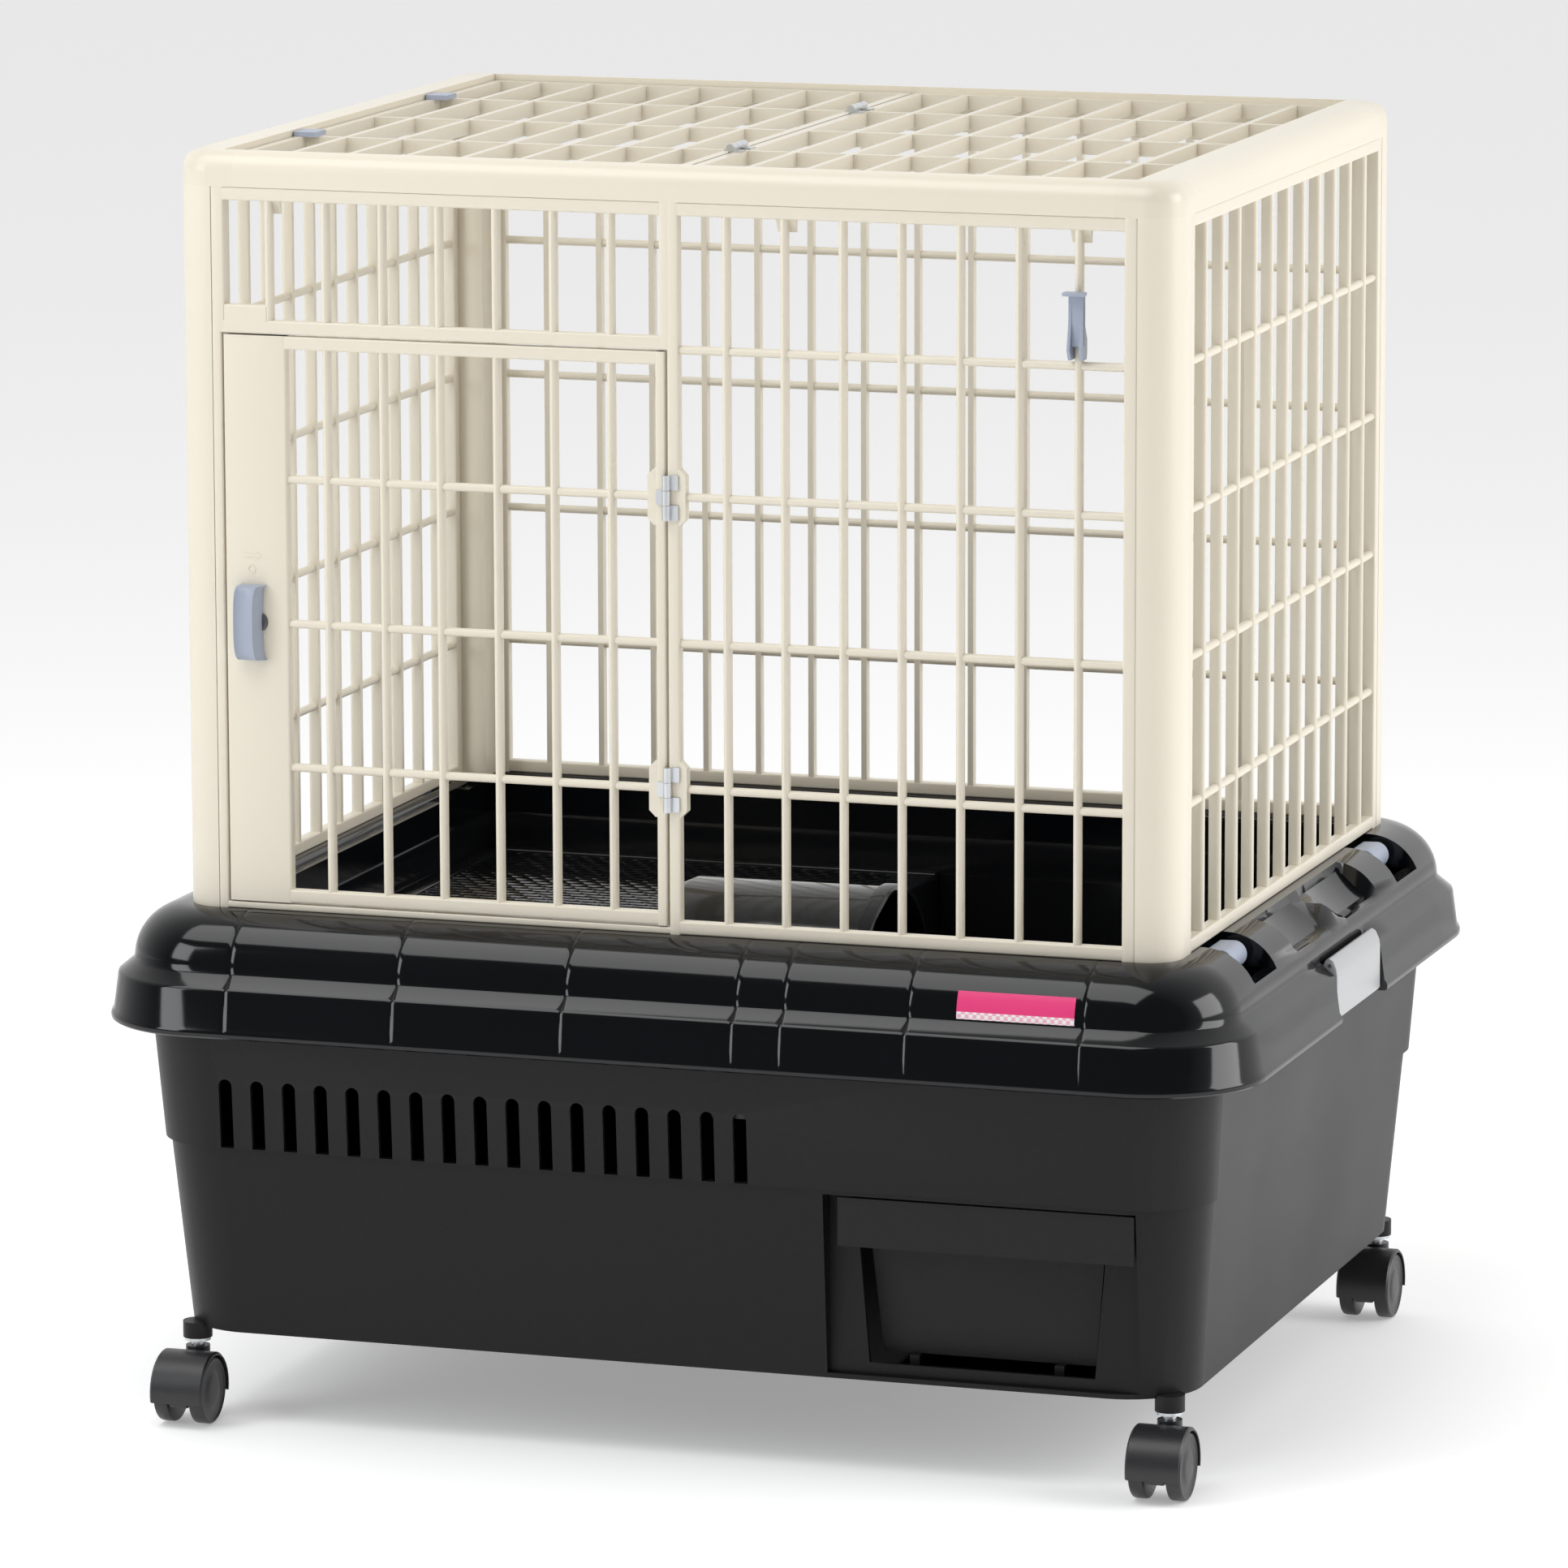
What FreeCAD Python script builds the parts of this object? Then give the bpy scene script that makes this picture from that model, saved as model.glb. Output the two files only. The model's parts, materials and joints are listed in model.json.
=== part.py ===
import FreeCAD, Part
import math
import os
import re

# Wire rabbit cage on a wheeled base, in millimetres.
# Origin: floor level under the middle of the object. +X right, +Y back, +Z up, door at the front (-Y).

doc = FreeCAD.newDocument("rabbit_cage")
sheet = doc.addObject("Spreadsheet::Sheet", "Sizes")

SIZES = {
    # cage
    "pitch": 36,
    "cells_wide": 16,
    "cells_deep": 12,
    "pitch_deep": 36.6,
    "row_pitch": 87.6,
    "cage_w": 624,
    "cage_d": 500,
    "cage_high": 438,
    "seat_z": 320,
    "bar_w": 4.5,
    "bar_depth": 8,
    "rod_r": 2.6,
    "strip": 6,
    "rail_high": 8,
    "sill_high": 4,
    "post_round": 21,
    # door and latch
    "door_gap": 1,
    "stile_w": 40,
    "door_thick": 8,
    "mullion_w": 7,
    "grip_w": 21,
    "grip_high": 46,
    "grip_deep": 13,
    "grip_round": 6,
    "grip_z": 496,
    "latch_travel": 9,
    # hinges
    "pin_r": 1.2,
    "pin_clearance": 0.05,
    "barrel_r": 2.5,
    "hinge_high": 27,
    "leaf_w": 7,
    "leaf_thick": 1,
    "barrel_gap": 0.1,
    # top frame and roof
    "top_high": 21,
    "side_rail": 28,
    "end_rail": 14,
    "top_round": 12,
    "corner_cap": 38,
    "joint_cap": 20,
    "roof_rib": 9,
    "roof_rib_w": 4,
    "roof_drop": 4,
    "latch_clear": 1,
    "latch_long": 14,
    "latch_half": 9,
    "latch_high": 3,
    "hook_w": 9,
    "hook_deep": 7,
    "hook_high": 40,
    # deck
    "dome_out": 36,
    "dome_high": 33,
    "ledge_out": 46,
    "ledge_z": 278,
    "skirt_out": 51,
    "skirt_z": 249,
    "deck_wall": 3,
    "dome_corner": 52,
    "skirt_corner": 62,
    "tray_z": 272,
    "tray_thick": 3,
    "bowl_margin": 24,
    "well_left": 20,
    "well_bottom": 205,
    "tray_gap": 0.5,
    "tunnel_r": 72,
    "tunnel_y": -133,
    "tunnel_top": 334,
    "tunnel_left": -35,
    "tunnel_right": 104,
    # tub
    "tub_wall": 3,
    "tub_corner": 46,
    "band_top_out": 27,
    "band_step_out": 20,
    "body_step_out": 17.5,
    "body_foot_out": 8,
    "tub_top_z": 275,
    "step_z": 175,
    "foot_z": 58,
    "label_x": 190,
    "label_w": 72,
    "label_high": 16,
    "label_thick": 0.6,
    "vent_count": 17,
    "vent_pitch": 20.5,
    "vent_first_x": -277,
    "vent_w": 8.5,
    "vent_high": 43,
    # drawer
    "bay_left": 101,
    "bay_right": 294,
    "bay_deep": 14,
    "drawer_x": 196,
    "drawer_top_half": 74,
    "drawer_foot_half": 66,
    "drawer_foot_z": 72,
    "drawer_top_z": 158,
    "drawer_long": 400,
    "drawer_gap": 4,
    "drawer_wall": 2.5,
    "handle_foot_z": 141,
    "grate_half": 88,
    # side buckles and clips
    "buckle_half": 52,
    "buckle_x": 354,
    "buckle_z": 284,
    "buckle_r": 5,
    "buckle_foot": 250,
    "clip_y": 168,
    "clip_x": 321.5,
    "clip_z": 309,
    "clip_r": 8.5,
    "clip_half": 16,
    "notch_half": 24,
    "notch_z": 299.5,
    # casters
    "caster_x": 309,
    "caster_y": 243,
    "caster_trail": 15,
    "wheel_r": 20.5,
    "wheel_w": 10,
    "wheel_gap": 6.5,
    "axle_r": 3,
    "axle_clearance": 0.05,
    "stem_r": 4,
    "stem_foot": 34,
    "fork_top": 45,
    "pillar_z": 50,
    "pillar_r": 9,
    # how far a cutting block runs past what it cuts
    "reach": 60,
}

for row, (alias, value) in enumerate(SIZES.items(), start=1):
    sheet.set(f"A{row}", alias)
    sheet.set(f"B{row}", str(value))
    sheet.setAlias(f"B{row}", alias)
doc.recompute()


def bound(text):
    """An expression in size names, written for the document."""
    return re.sub(r"[a-z_]+", lambda m: f"Sizes.{m.group(0)}" if m.group(0) in SIZES else m.group(0),
                  str(text))


def size(name):
    return float(sheet.get(name))


def bind(item, **expressions):
    for name, text in expressions.items():
        item.setExpression(name.replace("__", "."), bound(text))
    return item


def place(item, x, y, z, axis=None, angle=0):
    if axis:
        item.Placement = FreeCAD.Placement(FreeCAD.Vector(0, 0, 0),
                                           FreeCAD.Rotation(FreeCAD.Vector(*axis), angle))
    return bind(item, Placement__Base__x=x, Placement__Base__y=y, Placement__Base__z=z)


def box(name, x, y, z, length, width, height):
    """A block from its low corner."""
    item = doc.addObject("Part::Box", name)
    bind(item, Length=length, Width=width, Height=height)
    return place(item, x, y, z)


TURNS = {"X": ((0, 1, 0), 90), "Y": ((1, 0, 0), -90), "Z": (None, 0)}


def rod(name, x, y, z, radius, height, along="Z"):
    """A round bar from its low end, along one axis."""
    item = doc.addObject("Part::Cylinder", name)
    bind(item, Radius=radius, Height=height)
    axis, angle = TURNS[along]
    return place(item, x, y, z, axis, angle)


def taper(name, x, y, low_z, high_z, low_half, high_half):
    """A block with sloping sides, centred on x and y; each half is an (x, y) pair of half sizes."""
    item = doc.addObject("Part::Wedge", name)
    bind(item, Ymin=low_z, Ymax=high_z)
    bind(item, Xmin=f"-({low_half[0]})", Xmax=low_half[0], Zmin=f"-({low_half[1]})", Zmax=low_half[1])
    bind(item, X2min=f"-({high_half[0]})", X2max=high_half[0], Z2min=f"-({high_half[1]})",
         Z2max=high_half[1])
    return place(item, x, y, 0, (1, 0, 0), 90)


def fuse(name, items):
    item = doc.addObject("Part::MultiFuse", name)
    item.Shapes = items
    item.Refine = True
    return item


def cut(name, base, tools):
    item = doc.addObject("Part::Cut", name)
    item.Base = base
    item.Tool = tools[0] if len(tools) == 1 else fuse(f"{name}_tools", tools)
    item.Refine = True
    return item


def common(name, base, region):
    item = doc.addObject("Part::Common", name)
    item.Base = base
    item.Tool = region
    return item


def rounded(name, base, radius, chosen):
    """base with the chosen edges rounded."""
    doc.recompute()
    item = doc.addObject("Part::Fillet", name)
    item.Base = base
    r = size(radius)
    item.Edges = [(i, r, r) for i, edge in enumerate(base.Shape.Edges, start=1) if chosen(edge)]
    return item


def ends(edge):
    return edge.Vertexes[0].Point, edge.Vertexes[-1].Point


def is_upright(edge):
    """True for a corner edge that climbs, straight or leaning."""
    low, high = ends(edge)
    return math.hypot(high.x - low.x, high.y - low.y) < 2 * abs(high.z - low.z)


def is_at(z):
    """A test for edges that lie wholly at height z."""
    return lambda edge: all(abs(v.Point.z - z) < 0.01 for v in edge.Vertexes)


pieces = {}


def piece(label, item):
    item.Label = label
    pieces[label] = item
    return item


# ---------------------------------------------------------------- cage walls
FRONT = "-cage_d / 2"
PANEL_HALF = "pitch * cells_wide / 2"
SIDE_HALF = "pitch_deep * cells_deep / 2"
TOP_Z = "seat_z + cage_high"
DOOR_TOP = "seat_z + row_pitch * 4"


def upright_bar(name, x, y, z, height):
    return box(name, f"{x} - bar_w / 2", y, z, "bar_w", "bar_depth", height)


def side_bar(name, x, y, z, height):
    return box(name, x, f"{y} - bar_w / 2", z, "bar_depth", "bar_w", height)


def front_panel():
    parts = [
        box("strip_left", f"-{PANEL_HALF}", FRONT, "seat_z", "strip", "bar_depth", "cage_high"),
        box("strip_right", f"{PANEL_HALF} - rail_high", FRONT, "seat_z", "rail_high", "bar_depth",
            "cage_high"),
        box("mullion", 0, FRONT, "seat_z", "mullion_w", "bar_depth", "cage_high"),
        box("mullion_top", "-mullion_w", FRONT, DOOR_TOP, "mullion_w", "bar_depth",
            "cage_high - row_pitch * 4"),
        box("rail_top", f"-{PANEL_HALF}", FRONT, f"{TOP_Z} - rail_high", f"{PANEL_HALF} * 2", "bar_depth",
            "rail_high"),
        box("header", f"-{PANEL_HALF}", FRONT, DOOR_TOP, PANEL_HALF, "bar_depth", "rail_high"),
        box("sill", f"-{PANEL_HALF}", FRONT, "seat_z", PANEL_HALF, "bar_depth", "sill_high"),
        box("rail_foot", 0, FRONT, "seat_z", PANEL_HALF, "bar_depth", "rail_high"),
    ]
    half = SIZES["cells_wide"] // 2
    for k in range(1, half):
        parts.append(upright_bar(f"bar_right_{k}", f"pitch * {k}", FRONT, "seat_z", "cage_high"))
        over = upright_bar(f"bar_over_{k}", f"-pitch * {k}", FRONT, DOOR_TOP, "cage_high - row_pitch * 4")
        parts.append(over)
    for k in range(1, 5):
        z = f"seat_z + row_pitch * {k}"
        parts.append(rod(f"rod_{k}", 0, f"{FRONT} + bar_depth / 2", z, "rod_r", PANEL_HALF, "X"))
    return fuse("front_panel_body", parts)


def frame_and_grid_x(prefix, y):
    """A full grille wall that runs along X."""
    parts = [
        box(f"{prefix}_left", f"-{PANEL_HALF}", y, "seat_z", "rail_high", "bar_depth", "cage_high"),
        box(f"{prefix}_right", f"{PANEL_HALF} - rail_high", y, "seat_z", "rail_high", "bar_depth",
            "cage_high"),
        box(f"{prefix}_top", f"-{PANEL_HALF}", y, f"{TOP_Z} - rail_high", f"{PANEL_HALF} * 2", "bar_depth",
            "rail_high"),
        box(f"{prefix}_foot", f"-{PANEL_HALF}", y, "seat_z", f"{PANEL_HALF} * 2", "bar_depth", "rail_high"),
    ]
    half = SIZES["cells_wide"] // 2
    for k in range(1 - half, half):
        parts.append(upright_bar(f"{prefix}_bar_{k + half}", f"pitch * {k}", y, "seat_z", "cage_high"))
    for k in range(1, 5):
        z = f"seat_z + row_pitch * {k}"
        parts.append(rod(f"{prefix}_rod_{k}", f"-{PANEL_HALF}", f"{y} + bar_depth / 2", z, "rod_r",
                         f"{PANEL_HALF} * 2", "X"))
    return fuse(f"{prefix}_body", parts)


def frame_and_grid_y(prefix, x):
    """A full grille wall that runs along Y."""
    parts = [
        box(f"{prefix}_front", x, f"-{SIDE_HALF}", "seat_z", "bar_depth", "rail_high", "cage_high"),
        box(f"{prefix}_back", x, f"{SIDE_HALF} - rail_high", "seat_z", "bar_depth", "rail_high",
            "cage_high"),
        box(f"{prefix}_top", x, f"-{SIDE_HALF}", f"{TOP_Z} - rail_high", "bar_depth", f"{SIDE_HALF} * 2",
            "rail_high"),
        box(f"{prefix}_foot", x, f"-{SIDE_HALF}", "seat_z", "bar_depth", f"{SIDE_HALF} * 2", "rail_high"),
    ]
    half = SIZES["cells_deep"] // 2
    for k in range(1 - half, half):
        parts.append(side_bar(f"{prefix}_bar_{k + half}", x, f"pitch_deep * {k}", "seat_z", "cage_high"))
    for k in range(1, 5):
        z = f"seat_z + row_pitch * {k}"
        parts.append(rod(f"{prefix}_rod_{k}", f"{x} + bar_depth / 2", f"-{SIDE_HALF}", z, "rod_r",
                         f"{SIDE_HALF} * 2", "Y"))
    return fuse(f"{prefix}_body", parts)


def corner_post(prefix, side, end):
    """A post with a quarter-round outer corner; side is -1 left or 1 right, end is -1 front or 1 back."""
    x = PANEL_HALF if side > 0 else "-cage_w / 2"
    y = SIDE_HALF if end > 0 else "-cage_d / 2"
    block = box(f"{prefix}_block", x, y, "seat_z", f"cage_w / 2 - {PANEL_HALF}",
                f"cage_d / 2 - {SIDE_HALF}", "cage_high")
    doc.recompute()

    def outer(edge):
        point = edge.Vertexes[0].Point
        return is_upright(edge) and point.x * side > size("cage_w") / 2 - 1 and point.y * end > size("cage_d") / 2 - 1

    return rounded(f"{prefix}_round", block, "post_round", outer)


piece("front_panel", front_panel())
piece("rear_panel", frame_and_grid_x("rear", "cage_d / 2 - bar_depth"))
piece("left_panel", frame_and_grid_y("left", "-cage_w / 2"))
piece("right_panel", frame_and_grid_y("right", "cage_w / 2 - bar_depth"))
CORNERS = {"front_left": (-1, -1), "front_right": (1, -1), "rear_left": (-1, 1), "rear_right": (1, 1)}
for corner, (side, end) in CORNERS.items():
    piece(f"post_{corner}", corner_post(f"post_{corner}", side, end))


# ---------------------------------------------------------------- door
DOOR_LEFT = f"-{PANEL_HALF} + strip + door_gap"
DOOR_FOOT = "seat_z + sill_high + door_gap"
DOOR_HIGH = "row_pitch * 4 - sill_high - door_gap * 2"
DOOR_WIDE = f"{PANEL_HALF} - strip - door_gap * 2.5"
HINGE_Y = f"{FRONT} - barrel_r"
GRIP_X = f"-{PANEL_HALF} + 24"
DOOR_HINGES = ("seat_z + row_pitch * 3 - hinge_high / 2", "seat_z + row_pitch - hinge_high / 2")


def door():
    rail_x = f"{DOOR_LEFT} + stile_w"
    parts = [
        box("door_stile", DOOR_LEFT, FRONT, DOOR_FOOT, "stile_w", "door_thick", DOOR_HIGH),
        box("door_edge", "-door_gap * 1.5 - strip", FRONT, DOOR_FOOT, "strip", "door_thick", DOOR_HIGH),
        box("door_rail_top", DOOR_LEFT, FRONT, f"{DOOR_TOP} - door_gap - rail_high", DOOR_WIDE,
            "door_thick", "rail_high"),
        box("door_rail_foot", DOOR_LEFT, FRONT, DOOR_FOOT, DOOR_WIDE, "door_thick", "rail_high"),
    ]
    for k in range(1, 7):
        parts.append(upright_bar(f"door_bar_{k}", f"-pitch * {k}", FRONT, DOOR_FOOT, DOOR_HIGH))
    for k in range(1, 4):
        z = f"seat_z + row_pitch * {k}"
        parts.append(rod(f"door_rod_{k}", rail_x, f"{FRONT} + bar_depth / 2", z, "rod_r",
                         f"{DOOR_WIDE} - stile_w", "X"))
    slot = box("latch_slot", f"{GRIP_X} - 4", f"{FRONT} - 1", "grip_z - 5", "8 + latch_travel",
               "door_thick + 2", 10)
    return cut("door_body", fuse("door_solid", parts), [slot])


def door_latch():
    """The arched grip, its neck through the door's slot, and the bolt plate behind the door."""
    block = box("grip_block", f"{GRIP_X} - grip_w / 2", f"{FRONT} - grip_deep", "grip_z - grip_high / 2",
                "grip_w",
                "grip_deep - 0.3", "grip_high")
    grip = rounded("grip_round", block, "grip_round", lambda edge: all(
        v.Point.y < -size("cage_d") / 2 - size("grip_deep") + 0.01 for v in edge.Vertexes))
    neck = box("grip_neck", f"{GRIP_X} - 3.5", f"{FRONT} - 1", "grip_z - 4.5", 7, "door_thick + 1.5", 9)
    bolt = box("latch_bolt", f"{GRIP_X} - 14", f"{FRONT} + door_thick + 0.3", "grip_z - 6", 24, 3, 12)
    return fuse("door_latch_body", [grip, neck, bolt])


def hinge_barrels(prefix, x, y, low_z, along, fixed):
    """Two outer barrels with their pin when fixed, else the middle barrel with its leaf."""
    third = "hinge_high / 3"

    def barrel(name, offset, length):
        spot = {"Z": (x, y, f"{low_z} + {offset}"), "Y": (x, f"{y} + {offset}", low_z)}[along]
        return rod(name, *spot, "barrel_r", length, along)

    if fixed:
        low_barrel = barrel(f"{prefix}_low", 0, f"{third} - barrel_gap")
        high_barrel = barrel(f"{prefix}_high", f"{third} * 2 + barrel_gap", f"{third} - barrel_gap")
        pin = rod(f"{prefix}_pin", x, y, low_z, "pin_r", "hinge_high", along)
        return fuse(f"{prefix}_fixed", [low_barrel, high_barrel, pin])
    middle = barrel(f"{prefix}_mid", f"{third} + barrel_gap", f"{third} - barrel_gap * 2")
    bore = rod(f"{prefix}_bore", x, y, low_z, "pin_r + pin_clearance", "hinge_high", along)
    return cut(f"{prefix}_leaf", middle, [bore])


def hinge(prefix, x, y, z, along, side):
    """Fixed barrels and pin with their leaf on one side, or the middle barrel on the other."""
    barrels = hinge_barrels(prefix, x, y, z, along, side > 0)
    third = "hinge_high / 3"
    leaf_x = x if side > 0 else f"{x} - leaf_w"
    offsets = (0, f"{third} * 2 + barrel_gap") if side > 0 else (f"{third} + barrel_gap",)
    length = f"{third} - barrel_gap" if side > 0 else f"{third} - barrel_gap * 2"
    leaves = []
    for number, offset in enumerate(offsets):
        name = f"{prefix}_tab_{number}"
        if along == "Z":
            leaves.append(box(name, leaf_x, f"{y} + barrel_r - leaf_thick", f"{z} + {offset}", "leaf_w",
                              "leaf_thick", length))
        else:
            leaves.append(box(name, leaf_x, f"{y} + {offset}", f"{z} - barrel_r", "leaf_w", length,
                              "leaf_thick"))
    return fuse(f"{prefix}_whole", [barrels] + leaves)


def hinge_set(name, spots, along, side):
    return fuse(name, [hinge(f"{name}_{i}", *spot, along, side) for i, spot in enumerate(spots)])


door_spots = [("0", HINGE_Y, z) for z in DOOR_HINGES]
piece("door", door())
piece("door_latch", door_latch())
piece("door_hinge_fixed", hinge_set("door_hinge_fixed_set", door_spots, "Z", 1))
piece("door_hinge_leaf", hinge_set("door_hinge_leaf_set", door_spots, "Z", -1))


# ---------------------------------------------------------------- top frame and roof
RING_TOP = "seat_z + cage_high + top_high"
ROOF_TOP = f"{RING_TOP} - roof_drop"


def top_ring():
    """The whole ring, before it is parted into rails and caps."""
    block = box("ring_block", "-cage_w / 2", FRONT, TOP_Z, "cage_w", "cage_d", "top_high")
    corners = rounded("ring_corners", block, "post_round", is_upright)
    top = rounded("ring_round", corners, "top_round",
                  is_at(size("seat_z") + size("cage_high") + size("top_high")))
    opening = box("ring_opening", "-cage_w / 2 + side_rail", f"{FRONT} + end_rail", f"{TOP_Z} - 1",
                  "cage_w - side_rail * 2", "cage_d - end_rail * 2", "top_high + 2")
    return cut("ring", top, [opening])


def region(name, low_x, high_x, low_y, high_y):
    """A block as tall as the ring between plan limits."""
    return box(name, low_x, low_y, TOP_Z, f"({high_x}) - ({low_x})", f"({high_y}) - ({low_y})", "top_high")


def top_frame():
    ring = top_ring()
    left, right = "-cage_w / 2", "cage_w / 2"
    front, back = "-cage_d / 2", "cage_d / 2"
    cap_x, cap_y = "cage_w / 2 - corner_cap", "cage_d / 2 - corner_cap"
    joint = "joint_cap / 2"
    caps = [region(f"cap_{i}", *xs, *ys) for i, (xs, ys) in enumerate([
        ((left, f"-({cap_x})"), (front, f"-({cap_y})")), ((cap_x, right), (front, f"-({cap_y})")),
        ((left, f"-({cap_x})"), (cap_y, back)), ((cap_x, right), (cap_y, back))])]
    piece("top_corner_caps", common("corner_caps_cut", ring, fuse("cap_regions", caps)))
    joints = [region("joint_front", f"-{joint}", joint, front, "-cage_d / 2 + end_rail"),
              region("joint_back", f"-{joint}", joint, "cage_d / 2 - end_rail", back)]
    piece("top_joint_caps", common("joint_caps_cut", ring, fuse("joint_regions", joints)))
    for name, low_y, high_y in (("front", front, f"-({cap_y})"), ("rear", cap_y, back)):
        halves = [region(f"rail_{name}_a", f"-({cap_x})", f"-{joint}", low_y, high_y),
                  region(f"rail_{name}_b", joint, cap_x, low_y, high_y)]
        piece(f"top_rails_{name}", common(f"rails_{name}_cut", ring, fuse(f"rail_{name}_regions", halves)))
    for name, low_x, high_x in (("left", left, f"-({cap_x})"), ("right", cap_x, right)):
        side = region(f"rail_{name}", low_x, high_x, f"-({cap_y})", cap_y)
        piece(f"top_rail_{name}", common(f"rail_{name}_cut", ring, side))


def roof_half(name, low_x, high_x, gap):
    """A grid of ribs between low_x and high_x; gap is the room left to the end rails."""
    low_y = f"{FRONT} + end_rail + {gap}"
    depth = f"cage_d - end_rail * 2 - {gap} * 2"
    low_z = f"{ROOF_TOP} - roof_rib"
    wide = f"({high_x}) - ({low_x})"
    parts = [
        box(f"{name}_front", low_x, low_y, low_z, wide, "strip", "roof_rib"),
        box(f"{name}_back", low_x, f"cage_d / 2 - end_rail - {gap} - strip", low_z, wide, "strip",
            "roof_rib"),
        box(f"{name}_low", low_x, low_y, low_z, "strip", depth, "roof_rib"),
        box(f"{name}_high", f"({high_x}) - strip", low_y, low_z, "strip", depth, "roof_rib"),
    ]
    sign = "-" if name.endswith("lid") else ""
    for k in range(1, SIZES["cells_wide"] // 2):
        x = f"{sign}pitch * {k} - roof_rib_w / 2"
        parts.append(box(f"{name}_rib_{k}", x, low_y, low_z, "roof_rib_w", depth, "roof_rib"))
    for k in (-1, 0, 1):
        y = f"(cage_d - end_rail * 2) / 4 * {k} - roof_rib_w / 2"
        parts.append(box(f"{name}_cross_{k + 2}", low_x, y, low_z, wide, "roof_rib_w", "roof_rib"))
    return fuse(f"{name}_grid", parts)


LID_LEFT = "-cage_w / 2 + side_rail + latch_clear"
roof_spots = [("0", f"cage_d * {share} - hinge_high / 2", f"{ROOF_TOP} + barrel_r") for share in (-0.236,
                                                                                                  0.236)]


def roof_latch(prefix, y):
    """A thumb slide that lies on the lid's end strip."""
    return box(f"{prefix}_thumb", LID_LEFT, f"{y} - latch_half", ROOF_TOP, "latch_long", "latch_half * 2",
               "latch_high")


top_frame()
piece("roof_lid", roof_half("roof_lid", LID_LEFT, "-door_gap", "latch_clear"))
piece("roof_fixed", roof_half("roof_fixed", "door_gap", "cage_w / 2 - side_rail", "0"))
piece("roof_hinge_fixed", hinge_set("roof_hinge_fixed_set", roof_spots, "Y", 1))
piece("roof_hinge_leaf", hinge_set("roof_hinge_leaf_set", roof_spots, "Y", -1))
piece("roof_latch_front", roof_latch("roof_latch_front", "-cage_d * 0.23"))
piece("roof_latch_rear", roof_latch("roof_latch_rear", "cage_d * 0.23"))


def bottle_hook():
    """A channel that clasps one bar of the right half, with a tab at its top."""
    x, face = "pitch * 7", f"{FRONT} - hook_deep"
    low = "seat_z + row_pitch * 4 + 4"
    block = box("hook_block", f"{x} - hook_w / 2", face, low, "hook_w", "hook_deep + bar_depth * 0.7",
                "hook_high")
    slot = box("hook_slot", f"{x} - bar_w / 2 - 0.2", f"{FRONT} - 0.2", f"{low} - 1", "bar_w + 0.4",
               "bar_depth", "hook_high + 2")
    tab = box("hook_tab", f"{x} - hook_w * 0.8", f"{face} - 3", f"{low} + hook_high - 2", "hook_w * 1.6",
              "hook_deep", 2)
    return cut("hook_body", fuse("hook_solid", [block, tab]), [slot])


piece("bottle_hook", bottle_hook())


# ---------------------------------------------------------------- deck and what stands in it
def slab(name, half_x, half_y, low_z, high_z):
    """A block centred on the origin in plan."""
    return box(name, f"-({half_x})", f"-({half_y})", low_z, f"({half_x}) * 2", f"({half_y}) * 2",
               f"({high_z}) - ({low_z})")


def grown(out):
    """Half sizes in plan that stand out from the cage walls."""
    return f"cage_w / 2 + {out}", f"cage_d / 2 + {out}"


def deck():
    dome_block = slab("dome_block", *grown("dome_out"), "ledge_z", "seat_z")
    dome_corners = rounded("dome_corners", dome_block, "dome_corner", is_upright)
    dome = rounded("dome", dome_corners, "dome_high", is_at(size("seat_z")))
    ledge_block = taper("ledge_block", 0, 0, "ledge_z", "ledge_z + 9", grown("ledge_out"),
                        grown("dome_out"))
    ledge = rounded("ledge", ledge_block, "dome_corner", is_upright)
    skirt_block = taper("skirt_block", 0, 0, "skirt_z", "ledge_z", grown("skirt_out"), grown("ledge_out"))
    skirt = rounded("skirt", skirt_block, "skirt_corner", is_upright)
    solid = fuse("deck_solid", [dome, ledge, skirt])
    hollow = fuse("deck_hollow", [
        rounded("hollow_top", slab("hollow_top_block", *grown("dome_out - deck_wall * 2"), "ledge_z - 2",
                                   "seat_z - deck_wall"), "dome_high", is_at(size("seat_z") - size("deck_wall"))),
        slab("hollow_foot", *grown("ledge_out - deck_wall * 2"), "skirt_z - 1", "ledge_z - deck_wall"),
    ])
    bowl = slab("bowl_block", *grown("-bowl_margin + deck_wall"), "tray_z - tray_thick - deck_wall",
                "seat_z")
    cavity = slab("bowl_cavity", *grown("-bowl_margin"), "tray_z - tray_thick", "seat_z + 1")
    well = box("well", "well_left", f"-({grown('-bowl_margin')[1]})", "well_bottom",
               "cage_w / 2 - bowl_margin - well_left",
               "cage_d - bowl_margin * 2", 100)
    collar_x = "well_left - deck_wall"
    collar = box("well_collar", collar_x, f"-({grown('-bowl_margin + deck_wall')[1]})", "well_bottom",
                 f"cage_w / 2 - bowl_margin + deck_wall - ({collar_x})", "cage_d - bowl_margin * 2 + deck_wall * 2",
                 "tray_z - tray_thick - well_bottom")
    shell = cut("deck_shell", solid, [hollow])
    lined = fuse("deck_lined", [shell, bowl, collar])
    notches = []
    for side in (-1, 1):
        for end in (-1, 1):
            x = "cage_w / 2" if side > 0 else "-cage_w / 2 - reach"
            notches.append(box(f"notch_{side}_{end}", x, f"clip_y * ({end}) - notch_half", "notch_z",
                               "reach", "notch_half * 2", "reach"))
        x = "buckle_x - 7" if side > 0 else "-buckle_x + 7 - reach"
        notches.append(box(f"buckle_gap_{side}", x, "-buckle_half", "skirt_z - 1", "reach",
                           "buckle_half * 2", "reach"))
    return cut("deck_body", lined, [cavity, well] + notches)


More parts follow.
